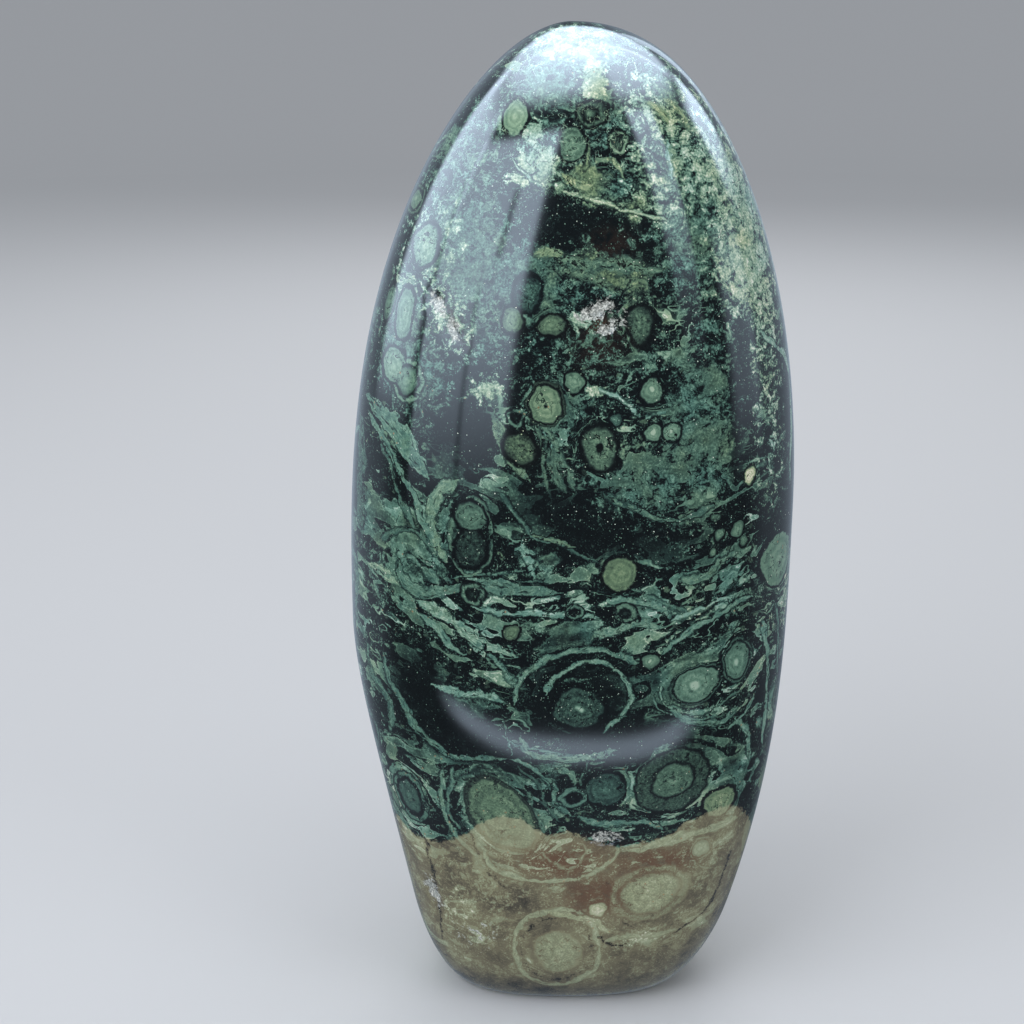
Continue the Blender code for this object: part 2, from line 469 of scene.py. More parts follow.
        Ribbon(((590, 760), (584, 775), (578, 786)), 0.7),
        Ribbon(((575, 816), (600, 825), (640, 822), (664, 830)), 1.2, 0.55, 0.15),
        Ribbon(((455, 765), (448, 790), (450, 815), (462, 832)), 0.9),
        Ribbon(((515, 765), (535, 780), (545, 805), (560, 822)), 0.7, 0.42),
        Ribbon(((487, 848), (487, 862), (500, 872), (526, 878), (572, 880), (600, 870), (614, 856),
            (617, 845)), 1.3, 0.6, 0.5),
        Ribbon(((540, 850), (550, 862), (566, 868), (582, 858), (584, 842)), 0.7, 0.45, 0.5),
        Ribbon(((625, 850), (645, 848), (665, 842), (690, 834), (715, 828), (738, 818)), 1.9, 0.62, 0.6),
        Ribbon(((545, 914), (572, 915), (596, 922), (612, 934)), 2.2, 0.66, 0.95, 0.7),
        Ribbon(((600, 942), (625, 936), (650, 934), (676, 930)), 1.8, 0.6, 0.7, 0.8),
        Ribbon(((731, 848), (724, 872), (713, 896), (700, 915), (673, 933)), 0.7, -0.3, 0.3, 0.3),
        Ribbon(((425, 838), (432, 870), (440, 905), (442, 938)), 0.9, -0.3, 0.3),
        Ribbon(((596, 936), (612, 944), (628, 941)), 1, -0.4, 0.3, 0.8),
        Ribbon(((560, 190), (580, 196), (598, 203), (622, 208), (645, 214), (668, 219)), 0.8, 0.82, 0.6),
        Ribbon(((594, 166), (602, 158), (612, 160), (619, 169), (623, 177)), 1.7, 0.72, 0.85, 0.9),
        Ribbon(((560, 172), (575, 182), (588, 190), (596, 186)), 2, 0.72, 0.95, 1.0),
        Ribbon(((560, 126), (566, 122), (585, 122), (600, 128), (622, 130)), 0.6, 0.04, 0.3),
        Ribbon(((584, 138), (590, 148), (586, 162), (578, 170)), 0.9, 0.6, 0.95, 0.8),
        Ribbon(((645, 100), (658, 112), (668, 124)), 1.3, 0.72, 1, 0.9),
        Ribbon(((660, 98), (676, 112), (690, 132)), 1.2, 0.74, 0.9, 1.0),
        Ribbon(((667, 140), (668, 158), (672, 180)), 0.8, 0.85, 0, 0.9),
        Ribbon(((515, 150), (518, 165), (530, 178), (542, 186)), 0.5, 0.8, 0.3),
        Ribbon(((531, 112), (550, 117), (572, 112)), 1.2, 0.04),
        Ribbon(((556, 178), (548, 205), (540, 235)), 0.5, 0.03),
    )
    patches: tuple[Patch, ...] = (
        *patch_group(Kind.GREEN, (
            (575, 45, 12, 8, 0.95), (545, 92, 7, 5, 0.95), (660, 85, 6, 9, 0.75), (520, 82, 5, 6.5, 0.6),
            (560, 140, 13, 10, 0.6), (600, 120, 8, 7, 0.75), (610, 185, 8, 4.5, 0.7),
            (715, 200, 18, 24, 0.85, 20), (450, 170, 12, 20, 0.6, -25), (455, 235, 12, 12, 0.85),
            (470, 270, 10, 8, 0.9), (400, 330, 8, 14, 0.8), (420, 380, 8, 8, 0.8), (490, 255, 7, 6, 0.6),
            (480, 330, 8, 10, 0.6), (470, 300, 9, 8, 0.55), (545, 290, 9, 7, 0.55), (530, 285, 7, 9, 1),
            (600, 300, 26, 12, 0.5), (560, 350, 14, 9, 0.45), (600, 370, 20, 12, 0.42),
            (560, 400, 8, 9, 0.7), (600, 440, 20, 15, 0.28), (640, 475, 18, 9, 0.5), (560, 375, 6, 5, 0.6),
            (700, 430, 9, 20, 0.75), (660, 475, 14, 9, 0.75, 20), (715, 360, 6, 16, 0.6),
            (385, 570, 10, 10, 0.5), (440, 520, 5, 10, 0.5), (700, 560, 14, 8, 0.35),
            (735, 590, 8, 8, 0.5), (475, 885, 12, 12, 0.45), (470, 925, 12, 8, 0.4),
            (700, 870, 9, 10, 0.45),
        )),
        *patch_group(Kind.OLIVE, (
            (575, 182, 7, 3, 0.9), (620, 200, 12, 4, 0.6, -25), (600, 275, 12, 5, 0.6),
            (610, 290, 10, 8, 0.5), (640, 440, 18, 16, 0.16),
        )),
        *patch_group(Kind.PALE, (
            (570, 40, 10, 6, 0.62), (594, 80, 2.6, 4.6, 1.15), (640, 75, 7, 7, 0.45),
            (540, 162, 4.6, 4.6, 0.95), (532, 132, 2.4, 2.4, 1), (528, 178, 5, 2.4, 0.7),
            (655, 115, 8, 4, 0.75, -40), (650, 150, 8, 14, 0.42), (665, 195, 9, 8, 0.5),
            (705, 165, 9, 14, 0.66, 30), (738, 200, 10, 14, 0.72, 15), (750, 265, 10, 12, 0.8),
            (765, 330, 6, 16, 0.6), (770, 420, 6, 22, 0.5), (425, 250, 10, 12, 0.5),
            (446, 315, 4, 9, 0.75, 35), (486, 389, 4, 3, 0.8), (582, 321, 3.4, 2.2, 0.9),
            (598, 391, 1.8, 1.2, 1.1), (478, 938, 2.6, 2.2, 0.9), (455, 905, 4, 6, 0.5),
            (640, 940, 6, 2, 0.7, 10),
        )),
        *patch_group(Kind.QUARTZ, (
            (436, 300, 1.6, 2.6, 0.95, 30), (453, 330, 1.4, 3.4, 0.95, 30), (592, 314, 2.8, 1.7, 0.95),
            (608, 305, 3.8, 1.3, 0.85, -25), (608, 329, 2.4, 1.4, 0.8, 20), (622, 319, 2.4, 1.2, 0.7),
            (605, 838, 3.6, 1.6, 0.9), (432, 890, 2.2, 4.8, 0.85, 20), (475, 935, 7, 5, 0.4),
        )),
        *patch_group(Kind.BLACK_AND_SHADE, (
            (597, 323, 2.2, 1.8, 1), (605, 225, 14, 7, 1), (740, 400, 2.6, 16, 1, -5),
            (455, 400, 8, 18, 0.8), (355, 450, 2.5, 12, 0.9), (600, 525, 22, 7, 0.9, -12),
            (560, 515, 10, 5, 0.8), (420, 690, 8, 9, 1), (450, 725, 13, 6, 1, -25), (577, 696, 12, 9, 1),
            # (560, 988) is painted shade: a thin dark band along the foot, where the skin turns under
            # towards the floor.
            (470, 745, 12, 5, 0.9, -20), (640, 740, 13, 6, 0.9), (560, 988, 30, 4.5, 1),
            (520, 910, 9, 5, 0.8, -30), (460, 870, 6, 9, 0.6), (690, 945, 10, 6, 0.7, 25),
        )),
        *patch_group(Kind.RUST, (
            (452, 322, 2, 5, 0.4, 35), (597, 325, 2.4, 1.6, 0.5), (612, 245, 4, 3, 0.12),
            (600, 345, 5, 4, 0.12), (560, 862, 10, 5, 1.1), (660, 862, 11, 4.2, 1), (600, 895, 8, 6, 1),
            (612, 870, 6, 4, 0.6),
        )),
        *patch_group(Kind.NET, (
            (620, 560, 30, 30, 0.35), (480, 610, 30, 22, 0.8), (700, 620, 20, 16, 0.7),
            (400, 620, 12, 20, 0.8), (740, 700, 12, 18, 0.8), (470, 800, 26, 14, 0.6),
            (620, 800, 26, 10, 0.5), (380, 560, 8, 16, 0.8),
        )),
        *patch_group(Kind.HAIR, (
            (515, 82, 6, 8, 1), (560, 150, 15, 12, 1), (620, 205, 14, 6, 0.7), (470, 330, 9, 12, 0.4),
        )),
        *patch_group(Kind.SPECK, (
            (600, 225, 16, 8, 0.6), (640, 250, 12, 12, 0.6), (490, 230, 14, 20, 0.4),
            (700, 300, 12, 26, 0.6), (600, 520, 26, 12, 0.7), (600, 680, 16, 12, 0.5),
        )),
        *patch_group(Kind.GREEN, (
            (0, 165, 14, 26, 0.8),
        ), On.ROUND),
        *patch_group(Kind.PALE, (
            (5, 178, 14, 18, 0.6), (0, 140, 10, 16, 0.5),
        ), On.ROUND),
    )


@dataclass(frozen=True)
class HiddenSide:
    """Rules that scatter like markings over the sides and the back, which the photograph doesn't show."""

    seed: int = 11
    orb_count: int = 70
    ribbon_count: int = 44
    first_angle: float = -18.0
    last_angle: float = 198.0
    tries: int = 4000
    orb_heights: tuple[float, float] = (6.0, 205.0)
    ribbon_heights: tuple[float, float] = (50.0, 205.0)
    ribbon_steps: int = 6
    ribbon_turn: float = 1.3
    least_ringed: float = 2.4
    crown_patch: Patch = Patch((15.0, 195.0), (26.0, 26.0), Kind.PALE, 0.6, on=On.ROUND)
    degree_length: float = 0.75
    patch_rules: tuple = (
        (Kind.GREEN, 20, 0.4, 0.8, 200.0), (Kind.PALE, 7, 0.4, 0.7, 200.0), (Kind.OLIVE, 8, 0.3, 0.6, 200.0),
        (Kind.NET, 20, 0.5, 0.9, 200.0), (Kind.BLACK_AND_SHADE, 5, 0.8, 1.0, 200.0), (Kind.RUST, 4, 0.5, 0.9, 40.0),
    )

    def orbs(self) -> tuple[Orb, ...]:
        """Scatters orbs that keep clear of each other.

        Returns:
            The orbs.
        """
        draw = random.Random(self.seed)
        placed: list[Orb] = []
        for _ in range(self.tries):
            if len(placed) == self.orb_count:
                break
            angle = draw.uniform(self.first_angle, self.last_angle)
            height = draw.uniform(*self.orb_heights)
            size = 1.6 + 7.0 * draw.random() ** 2.2
            stretch = draw.uniform(0.8, 1.35)
            away = [((angle - other.at[0]) * self.degree_length, height - other.at[1]) for other in placed]
            if any(math.hypot(*gap) < size + max(other.half) for gap, other in zip(away, placed)):
                continue
            ringed = draw.random() < 0.5 and size > self.least_ringed
            nucleus = draw.uniform(0.35, 0.6) if ringed else 0.86
            placed.append(Orb(
                (angle, height), (size * stretch, size), tilt=draw.uniform(-30, 30), nucleus=nucleus,
                tone=draw.uniform(0.4, 0.68), warmth=draw.uniform(0.15, 0.75),
                ring=(draw.uniform(0.68, 0.8), 0.96) if ringed else (0.0, 0.0),
                ring_tone=draw.uniform(0.45, 0.62) if ringed else 0.0,
                dot=draw.choice((0.0, 0.0, 0.16, -0.14)), grain=draw.uniform(0.3, 0.9), on=On.ROUND,
            ))
        return tuple(placed)

    def ribbons(self) -> tuple[Ribbon, ...]:
        """Draws wavy ribbons that lie mostly level, as the flow of the stone does.

        Returns:
            The ribbons.
        """
        draw = random.Random(self.seed + 1)
        made = []
        for _ in range(self.ribbon_count):
            angle = draw.uniform(self.first_angle, self.last_angle - 20.0)
            height = draw.uniform(*self.ribbon_heights)
            slope, sway = draw.uniform(-0.35, 0.35), draw.uniform(1.0, 4.0)
            length, phase = draw.uniform(18.0, 60.0), draw.uniform(0.0, 6.28)
            walked = [(i, length * i / self.ribbon_steps) for i in range(self.ribbon_steps + 1)]
            path = tuple(
                (angle + along, height + slope * along + sway * math.sin(phase + i * self.ribbon_turn))
                for i, along in walked if angle + along < self.last_angle
            )
            if len(path) > 2:
                made.append(Ribbon(
                    path, draw.uniform(0.6, 2.6), tone=draw.uniform(0.48, 0.72),
                    warmth=draw.uniform(0.1, 0.5), feather=draw.uniform(0.4, 1.0), on=On.ROUND,
                ))
        return tuple(made)

    def patches(self) -> tuple[Patch, ...]:
        """Lays granular patches and network over the hidden side.

        Returns:
            The patches.
        """
        draw = random.Random(self.seed + 2)
        made = []
        for kind, count, low, high, top in self.patch_rules:
            for _ in range(count):
                made.append(Patch(
                    (draw.uniform(self.first_angle, self.last_angle), draw.uniform(8.0, top)),
                    (draw.uniform(6.0, 16.0), draw.uniform(5.0, 16.0)), kind, draw.uniform(low, high),
                    tilt=draw.uniform(-40, 40), on=On.ROUND,
                ))
        return (*made, self.crown_patch)


# Skin of the stone


@dataclass
class Skin:
    """The dense surface mesh of the stone, with the markings laid on it as attributes."""

    form: StoneForm = field(default_factory=StoneForm)
    view: PhotoView = field(default_factory=PhotoView)
    markings: Markings = field(default_factory=Markings)
    hidden: HiddenSide = field(default_factory=HiddenSide)
    columns: int = 312
    rows: int = 292
    front_crowding: float = 0.22
    corner_crowding: float = 0.07
    base_rings: tuple[float, ...] = (0.985, 0.7, 0.35)
    path_step: float = 0.4
    knot_steps: int = 12
    end_fade: float = 3.0
    end_power: float = 0.6
    patch_fall: float = 0.7
    patch_edge: float = 1.5
    reach: float = 3.4
    drift_span: float = 45.0
    least_bend: float = 2.2
    wake: float = 0.8
    vug_depth: float = 0.55
    vug_fall: float = 1.6
    vug_waves: tuple[float, float] = (2.1, 2.7)
    least_vug: float = 0.8
    orb_limit: float = 1.45
    far: float = 9.0
    base_edge: float = 30.0

    def _angles(self) -> np.ndarray:
        """Angles of the columns, closer together on the face towards the camera.

        Returns:
            One angle in radians for each column.
        """
        turn = np.linspace(0.0, 2.0 * math.pi, self.columns, endpoint=False)
        crowded = turn + self.front_crowding * np.cos(turn)
        return crowded - self.corner_crowding * np.sin(4.0 * turn)

    def _heights(self) -> np.ndarray:
        """Heights of the rows, evenly spaced along the stone's outline and closer at its ends.

        Returns:
            One height for each row.
        """
        share = np.linspace(0.0, 1.0, 4001)
        heights = self.form.height * (0.5 - 0.5 * np.cos(math.pi * share))
        reach = self.form.left.at(heights, self.form)
        depth = self.form.front.at(heights, self.form)
        step = np.sqrt(np.diff(heights) ** 2 + 0.5 * np.diff(reach) ** 2 + 0.5 * np.diff(depth) ** 2)
        walked = np.concatenate([[0.0], np.cumsum(step)])
        return np.interp(np.linspace(0.0, walked[-1], self.rows, endpoint=False), walked, heights)

    def _lay_out(self) -> tuple[np.ndarray, np.ndarray, int]:
        """Works out the vertices and the faces.

        Returns:
            Vertices in millimetres, quads as vertex numbers (a triangle repeats its last), and the
            number of faces that belong to the polished skin.
        """
        grid = self.form.points(self._heights()[:, None], self._angles()[None, :])
        tip = self.form.points(np.array([self.form.height]), np.array([0.0]))
        foot = grid[0]
        middle = np.array([foot[:, 0].mean(), foot[:, 1].mean(), 0.0])
        flat = [middle + (foot - middle) * share for share in self.base_rings]
        points = np.concatenate([grid.reshape(-1, 3), tip] + flat + [middle[None]])
        step = np.arange(self.columns)
        after = (step + 1) % self.columns
        quads = []
        for row in range(self.rows - 1):
            low, high = row * self.columns, (row + 1) * self.columns
            quads.append(np.stack([low + step, low + after, high + after, high + step], axis=1))
        top, apex = (self.rows - 1) * self.columns, self.rows * self.columns
        cap = np.full_like(step, apex)
        quads.append(np.stack([top + step, top + after, cap, cap], axis=1))
        polished = sum(len(q) for q in quads)
        outer = 0
        for ring in range(len(self.base_rings)):
            inner = apex + 1 + ring * self.columns
            quads.append(np.stack([outer + after, outer + step, inner + step, inner + after], axis=1))
            outer = inner
        hub = np.full_like(step, apex + 1 + len(self.base_rings) * self.columns)
        quads.append(np.stack([outer + after, outer + step, hub, hub], axis=1))
        return points, np.concatenate(quads), polished

    def build(self) -> bpy.types.Object:
        """Builds the skin, lays the markings on it and links the piece to the scene.

        Returns:
            The piece.
        """
        self.points_mm, self.quads, polished = self._lay_out()
        faces = [tuple(q[:3]) if q[2] == q[3] else tuple(q) for q in self.quads.tolist()]
        self.tree = BVHTree.FromPolygons(self.points_mm.tolist(), faces)
        self._sink_vugs()
        mesh = bpy.data.meshes.new("stone_skin")
        mesh.from_pydata((self.points_mm * MM).tolist(), [], faces)
        mesh.shade_smooth()
        mesh.update()
        self.corner_point = np.zeros(len(mesh.loops), np.int64)
        mesh.loops.foreach_get("vertex_index", self.corner_point)
        corners = np.zeros(len(mesh.polygons), np.int64)
        mesh.polygons.foreach_get("loop_total", corners)
        self.face_of_corner = np.repeat(np.arange(len(faces)), corners)
        self.face_middle = self.points_mm[self.quads].mean(axis=1)
        slots = np.zeros(len(faces), np.int32)
        slots[polished:] = 1
        mesh.polygons.foreach_set("material_index", slots)
        self._lay_markings(mesh)
        mesh.set_sharp_from_angle(angle=math.radians(self.base_edge))
        piece = bpy.data.objects.new("stone_skin", mesh)
        bpy.context.scene.collection.objects.link(piece)
        return piece

    def _sink_vugs(self) -> None:
        """Sinks the small quartz-lined hollows a little way into the skin."""
        for patch in self.markings.patches:
            if patch.kind is not Kind.QUARTZ or patch.density < self.least_vug:
                continue
            across_wave, up_wave = self.vug_waves
            waves = np.sin(self.points_mm[:, 0] * across_wave) * np.sin(self.points_mm[:, 2] * up_wave)
            depth = self.vug_depth * np.exp(-self._share(patch) * self.vug_fall) * (1.0 + 0.5 * waves)
            self.points_mm -= depth[:, None] * self.spot(patch.at, patch.on)[1]

    def spot(self, at: tuple[float, float], on: On) -> tuple[np.ndarray, np.ndarray]:
        """Finds the point of the skin that a place names.

        Args:
            at: the place, as a pixel or as an angle and a height.
            on: how the place is given.

        Returns:
            The point and the outward normal there.
        """
        if on is On.PHOTO:
            start, direction = self.view.place(), self.view.ray(at)
            hit, normal, _, _ = self.tree.ray_cast(Vector(start), Vector(direction))
            if hit is None:
                nearest = start + direction * (np.dot(-start, direction))
                hit, normal, _, _ = self.tree.find_nearest(Vector(nearest))
        else:
            height = min(max(at[1], 1.0), self.form.height - 1.0)
            point = self.form.points(np.array([height]), np.array([math.radians(at[0])]))[0]
            hit, normal, _, _ = self.tree.find_nearest(Vector(point))
        return np.array(hit), np.array(normal)

    @staticmethod
    def _tangents(normal: np.ndarray, tilt: float) -> tuple[np.ndarray, np.ndarray]:
        """Two directions along the skin.

        Args:
            normal: the outward normal.
            tilt: how far they are turned, in degrees.

        Returns:
            Across and up, as seen from outside.
        """
        across = np.cross([0.0, 0.0, 1.0], normal)
        if np.linalg.norm(across) < 0.05:
            across = np.array([1.0, 0.0, 0.0])
        across = across / np.linalg.norm(across)
        up = np.cross(normal, across)
        turn = math.radians(tilt)
        return across * math.cos(turn) + up * math.sin(turn), up * math.cos(turn) - across * math.sin(turn)

    def _share(self, marking: Union[Orb, Patch]) -> np.ndarray:
        """How far each point of the skin lies from a marking's middle.

        Args:
            marking: the orb or patch.

        Returns:
            Squared distances, which are 1 at the marking's edge.
        """
        centre, normal = self.spot(marking.at, marking.on)
        across, up = self._tangents(normal, marking.tilt)
        away = self.points_mm - centre
        share = (away @ across / marking.half[0]) ** 2 + (away @ up / marking.half[1]) ** 2
        return share + (away @ normal / max(marking.half)) ** 2

    def _lay_markings(self, mesh: bpy.types.Mesh) -> None:
        """Writes every marking onto the mesh.

        Args:
            mesh: the skin's mesh.
        """
        self._lay_orbs(mesh, self.markings.orbs + self.hidden.orbs())
        self._lay_ribbons(mesh, self.markings.ribbons + self.hidden.ribbons())
        self._lay_patches(mesh, self.markings.patches + self.hidden.patches())

    def _write(self, mesh: bpy.types.Mesh, name: str, domain: str, values: np.ndarray) -> None:
        """Stores one vector for each corner or point under a name that the finishes read."""
        layer = mesh.attributes.new(name, "FLOAT_VECTOR", domain)
        layer.data.foreach_set("vector", values.astype(np.float32).ravel())

    def _lay_orbs(self, mesh: bpy.types.Mesh, orbs: tuple[Orb, ...]) -> None:
        """Gives every face to the orb that it lies in, as coordinates in that orb.

        Args:
            mesh: the skin's mesh.
            orbs: the orbs.
        """
        best = np.full(len(self.face_middle), self.orb_limit)
        owner = np.full(len(self.face_middle), -1)
        frames = []
        for index, orb in enumerate(orbs):
            centre, normal = self.spot(orb.at, orb.on)
            across, up = self._tangents(normal, orb.tilt)
            frames.append((centre, across / orb.half[0], up / orb.half[1]))
            away = self.face_middle - centre
            near = np.flatnonzero(np.abs(away).max(axis=1) < 2.0 * max(orb.half) + 1.0)
            away = away[near]
            depth = away @ normal * 0.5 / max(orb.half)
            share = np.sqrt((away @ frames[-1][1]) ** 2 + (away @ frames[-1][2]) ** 2 + depth**2)
            won = share < best[near]
            best[near[won]] = share[won]
            owner[near[won]] = index
        corner_owner = owner[self.face_of_corner]
        local = np.full((len(corner_owner), 3), self.far)
        rings, tint, extra = np.zeros_like(local), np.zeros_like(local), np.zeros_like(local)
        for index, orb in enumerate(orbs):
            mine = np.flatnonzero(corner_owner == index)
            centre, across, up = frames[index]
            away = self.points_mm[self.corner_point[mine]] - centre
            local[mine] = np.stack([away @ across, away @ up, np.zeros(len(mine))], axis=1)
            rings[mine] = (orb.nucleus, orb.ring[0], orb.ring[1])
            tint[mine] = (orb.tone, orb.warmth, orb.ring_tone)
            extra[mine] = (orb.dot, orb.grain, math.sqrt(orb.half[0] * orb.half[1]))
        for suffix, values in (("local", local), ("rings", rings), ("tint", tint), ("extra", extra)):
            self._write(mesh, f"orb_{suffix}", "CORNER", values)

    def _route(self, ribbon: Ribbon) -> tuple[np.ndarray, ...]:
        """Follows a ribbon's path over the skin.

        Args:
            ribbon: the ribbon to follow.

        Returns:
            Points along it, its directions, the directions to its side, its half width at each point
            and the length walked so far.
        """
        knots = np.array(ribbon.path, float)
        knots = np.concatenate([[2 * knots[0] - knots[1]], knots, [2 * knots[-1] - knots[-2]]])
        smooth = []
        for i in range(1, len(knots) - 2):
            a, b, c, d = knots[i - 1], knots[i], knots[i + 1], knots[i + 2]
            for t in np.linspace(0.0, 1.0, self.knot_steps, endpoint=False):
                smooth.append(0.5 * (2 * b + (c - a) * t + (2 * a - 5 * b + 4 * c - d) * t**2
                                     + (3 * b - a - 3 * c + d) * t**3))
        smooth.append(knots[-2])
        hits = [self.spot((p[0], p[1]), ribbon.on) for p in smooth]
        points, normals = np.array([h[0] for h in hits]), np.array([h[1] for h in hits])
        walked = np.concatenate([[0.0], np.cumsum(np.linalg.norm(np.diff(points, axis=0), axis=1))])
        along = np.arange(0.0, walked[-1], self.path_step)
        points = np.stack([np.interp(along, walked, points[:, k]) for k in range(3)], axis=1)
        normals = np.stack([np.interp(along, walked, normals[:, k]) for k in range(3)], axis=1)
        direction = np.gradient(points, axis=0)
        direction /= np.linalg.norm(direction, axis=1, keepdims=True) + 1e-9
        side = np.cross(direction, normals)
        side /= np.linalg.norm(side, axis=1, keepdims=True) + 1e-9
        half = ribbon.width / 2
        fade = min(0.3 * walked[-1], self.end_fade * half) + 1e-6
        ends = np.minimum(along, walked[-1] - along) / fade
        return points, direction, side, half * np.clip(ends, 0.02, 1.0) ** self.end_power, along

    def _lay_ribbons(self, mesh: bpy.types.Mesh, ribbons: tuple[Ribbon, ...]) -> None:
        """Gives every face to the ribbon that it lies in, as a place across and along it.

        Args:
            mesh: the skin's mesh.
            ribbons: the ribbons.
        """
        best = np.full(len(self.face_middle), self.reach)
        owner = np.full(len(self.face_middle), -1)
        routes = [self._route(ribbon) for ribbon in ribbons]
        for index, (points, _, _, half, _) in enumerate(routes):
            margin = max(half) * self.reach + 1.0
            low, high = points.min(axis=0) - margin, points.max(axis=0) + margin
            near = np.flatnonzero(np.all((self.face_middle > low) & (self.face_middle < high), axis=1))
            gap = np.linalg.norm(self.face_middle[near][:, None, :] - points[None], axis=2)
            closest = gap.argmin(axis=1)
            share = gap[np.arange(len(near)), closest] / half[closest]
            won = share < best[near]
            best[near[won]] = share[won]
            owner[near[won]] = index
        corner_owner = owner[self.face_of_corner]
        place = np.full((len(corner_owner), 3), self.far)
        tint = np.zeros_like(place)
        for index, ribbon in enumerate(ribbons):
            mine = np.flatnonzero(corner_owner == index)
            if not len(mine):
                continue
            points, direction, side, half, along = routes[index]
            where = self.points_mm[self.corner_point[mine]]
            closest = np.linalg.norm(where[:, None, :] - points[None], axis=2).argmin(axis=1)
            away = where - points[closest]
            across = np.einsum("ij,ij->i", away, side[closest])
            ahead = np.einsum("ij,ij->i", away, direction[closest])
            past = np.where((closest == 0) | (closest == len(points) - 1), np.abs(ahead), 0.0)
            distance = np.where(across < 0, -1.0, 1.0) * np.hypot(across, past)
            place[mine] = np.stack([distance / half[closest], along[closest] + ahead, half[closest]], axis=1)
            tint[mine] = (ribbon.tone, ribbon.warmth, ribbon.feather)
        self._write(mesh, "ribbon_place", "CORNER", place)
        self._write(mesh, "ribbon_tint", "CORNER", tint)

    def _flow(self) -> np.ndarray:
        """Heights bent so that their level lines sag with the stone's drift and part around orbs.

        Returns:
            One bent height for each point of the skin.
        """
        line = np.array([self.spot(at, On.PHOTO)[0] for at in self.markings.drift])
        angles = np.arctan2(line[:, 1], line[:, 0])
        angle = np.arctan2(self.points_mm[:, 1], self.points_mm[:, 0])
        height = self.points_mm[:, 2]
        level = np.interp(angle, angles, line[:, 2], period=2.0 * math.pi)
        near_line = np.exp(-(((height - level) / self.drift_span) ** 2))
        flow = height - (level - line[:, 2].mean()) * near_line
        for orb in self.markings.orbs + self.hidden.orbs():
            if min(orb.half) < self.least_bend:
                continue
            centre, normal = self.spot(orb.at, orb.on)
            outside = np.maximum(np.sqrt(self._share(orb)), 1.0)
            lift = (self.points_mm - centre) @ self._tangents(normal, 0.0)[1]
            flow -= lift * np.exp(-(outside - 1.0) / self.wake) / outside**2
        return flow

    def _lay_patches(self, mesh: bpy.types.Mesh, patches: tuple[Patch, ...]) -> None:
        """Lays the greatest density of each kind of grain, the edge of the brown zone and the flow.

        Args:
            mesh: the skin's mesh.
            patches: the patches.
        """
        names = ("grains_a", "grains_b", "grains_c", "zones")
        layers = {name: np.zeros((len(self.points_mm), 3)) for name in names}
        for patch in patches:
            name, channel = patch.kind.value
            amount = patch.density * np.exp(-(self._share(patch) ** self.patch_edge) * self.patch_fall)
            layers[name][:, channel] = np.maximum(layers[name][:, channel], amount)
        edge = [self.spot(at, On.PHOTO)[0] for at in self.markings.brown_edge]
        edge += [self.spot(at, On.ROUND)[0] for at in self.markings.brown_edge_round]
        angles = np.array([math.atan2(p[1], p[0]) for p in edge])
        order = np.argsort(angles)
        heights = np.array([p[2] for p in edge])[order]
        angle = np.arctan2(self.points_mm[:, 1], self.points_mm[:, 0])
        edge_height = np.interp(angle, angles[order], heights, period=2.0 * math.pi)
        layers["zones"][:, 0] = edge_height - self.points_mm[:, 2]
        layers["zones"][:, 2] = self._flow()
        for name, values in layers.items():
            self._write(mesh, name, "POINT", values)


# Shader building


Value = Union["Wire", float, tuple]


@dataclass(frozen=True)
class Wire:
    """A node's output that takes part in plain arithmetic, which adds the nodes for it."""

    graph: "Graph"
    socket: bpy.types.NodeSocket

    def __add__(self, other: Value) -> "Wire":
        """Sum."""
        return self.graph.calculate("ADD", self, other)

    def __sub__(self, other: Value) -> "Wire":
        """Difference."""
        return self.graph.calculate("SUBTRACT", self, other)

    def __rsub__(self, other: Value) -> "Wire":
        """Difference from a plain value."""
        return self.graph.calculate("SUBTRACT", other, self)

    def __mul__(self, other: Value) -> "Wire":
        """Product, where a vector times a number is a longer or shorter vector.

        Args:
            other: what to multiply by.

        Returns:
            The product.
        """
        if is_vector(self) and not is_vector(other):
            return self.graph.node("ShaderNodeVectorMath", {0: self, 3: other}, operation="SCALE")
        return self.graph.calculate("MULTIPLY", self, other)

    def __truediv__(self, other: Value) -> "Wire":
        """Quotient."""
        return self.graph.calculate("DIVIDE", self, other)

    def __rtruediv__(self, other: Value) -> "Wire":
        """A plain value divided by this."""
        return self.graph.calculate("DIVIDE", other, self)

    def __pow__(self, power: float) -> "Wire":
        """Power."""
        return self.graph.calculate("POWER", self, power)

    def __abs__(self) -> "Wire":
        """Size without its sign."""
        return self.graph.calculate("ABSOLUTE", self)

    def scaled(self, by: Value, plus: Value) -> "Wire":
        """This times one value and plus another, in one node."""
        return self.graph.calculate("MULTIPLY_ADD", self, by, plus)

    def do(self, operation: str, *others: Value) -> "Wire":
        """Any other operation of a Math node."""
        return self.graph.calculate(operation, self, *others)

    def clamped(self) -> "Wire":
        """Holds the result of the Math node just made between 0 and 1."""
        self.socket.node.use_clamp = True
        return self

    def step(self, low: Value, high: Value) -> "Wire":
        """A soft step: 0 at low and 1 at high."""
        inputs = dict(enumerate((self, low, high, 0.0, 1.0)))
        return self.graph.node("ShaderNodeMapRange", inputs, interpolation_type="SMOOTHSTEP")

    def length(self) -> "Wire":
        """Length of a vector."""
        return self.graph.node("ShaderNodeVectorMath", {0: self}, 1, operation="LENGTH")

    def parts(self) -> tuple["Wire", ...]:
        """The three numbers of a vector."""
        node = self.graph.node("ShaderNodeSeparateXYZ", {0: self}).socket.node
        return tuple(Wire(self.graph, socket) for socket in node.outputs)


def is_vector(value: Value) -> bool:
    """Whether a value is a vector or a colour."""
    return isinstance(value, tuple) or isinstance(value, Wire) and value.socket.type in ("VECTOR", "RGBA")


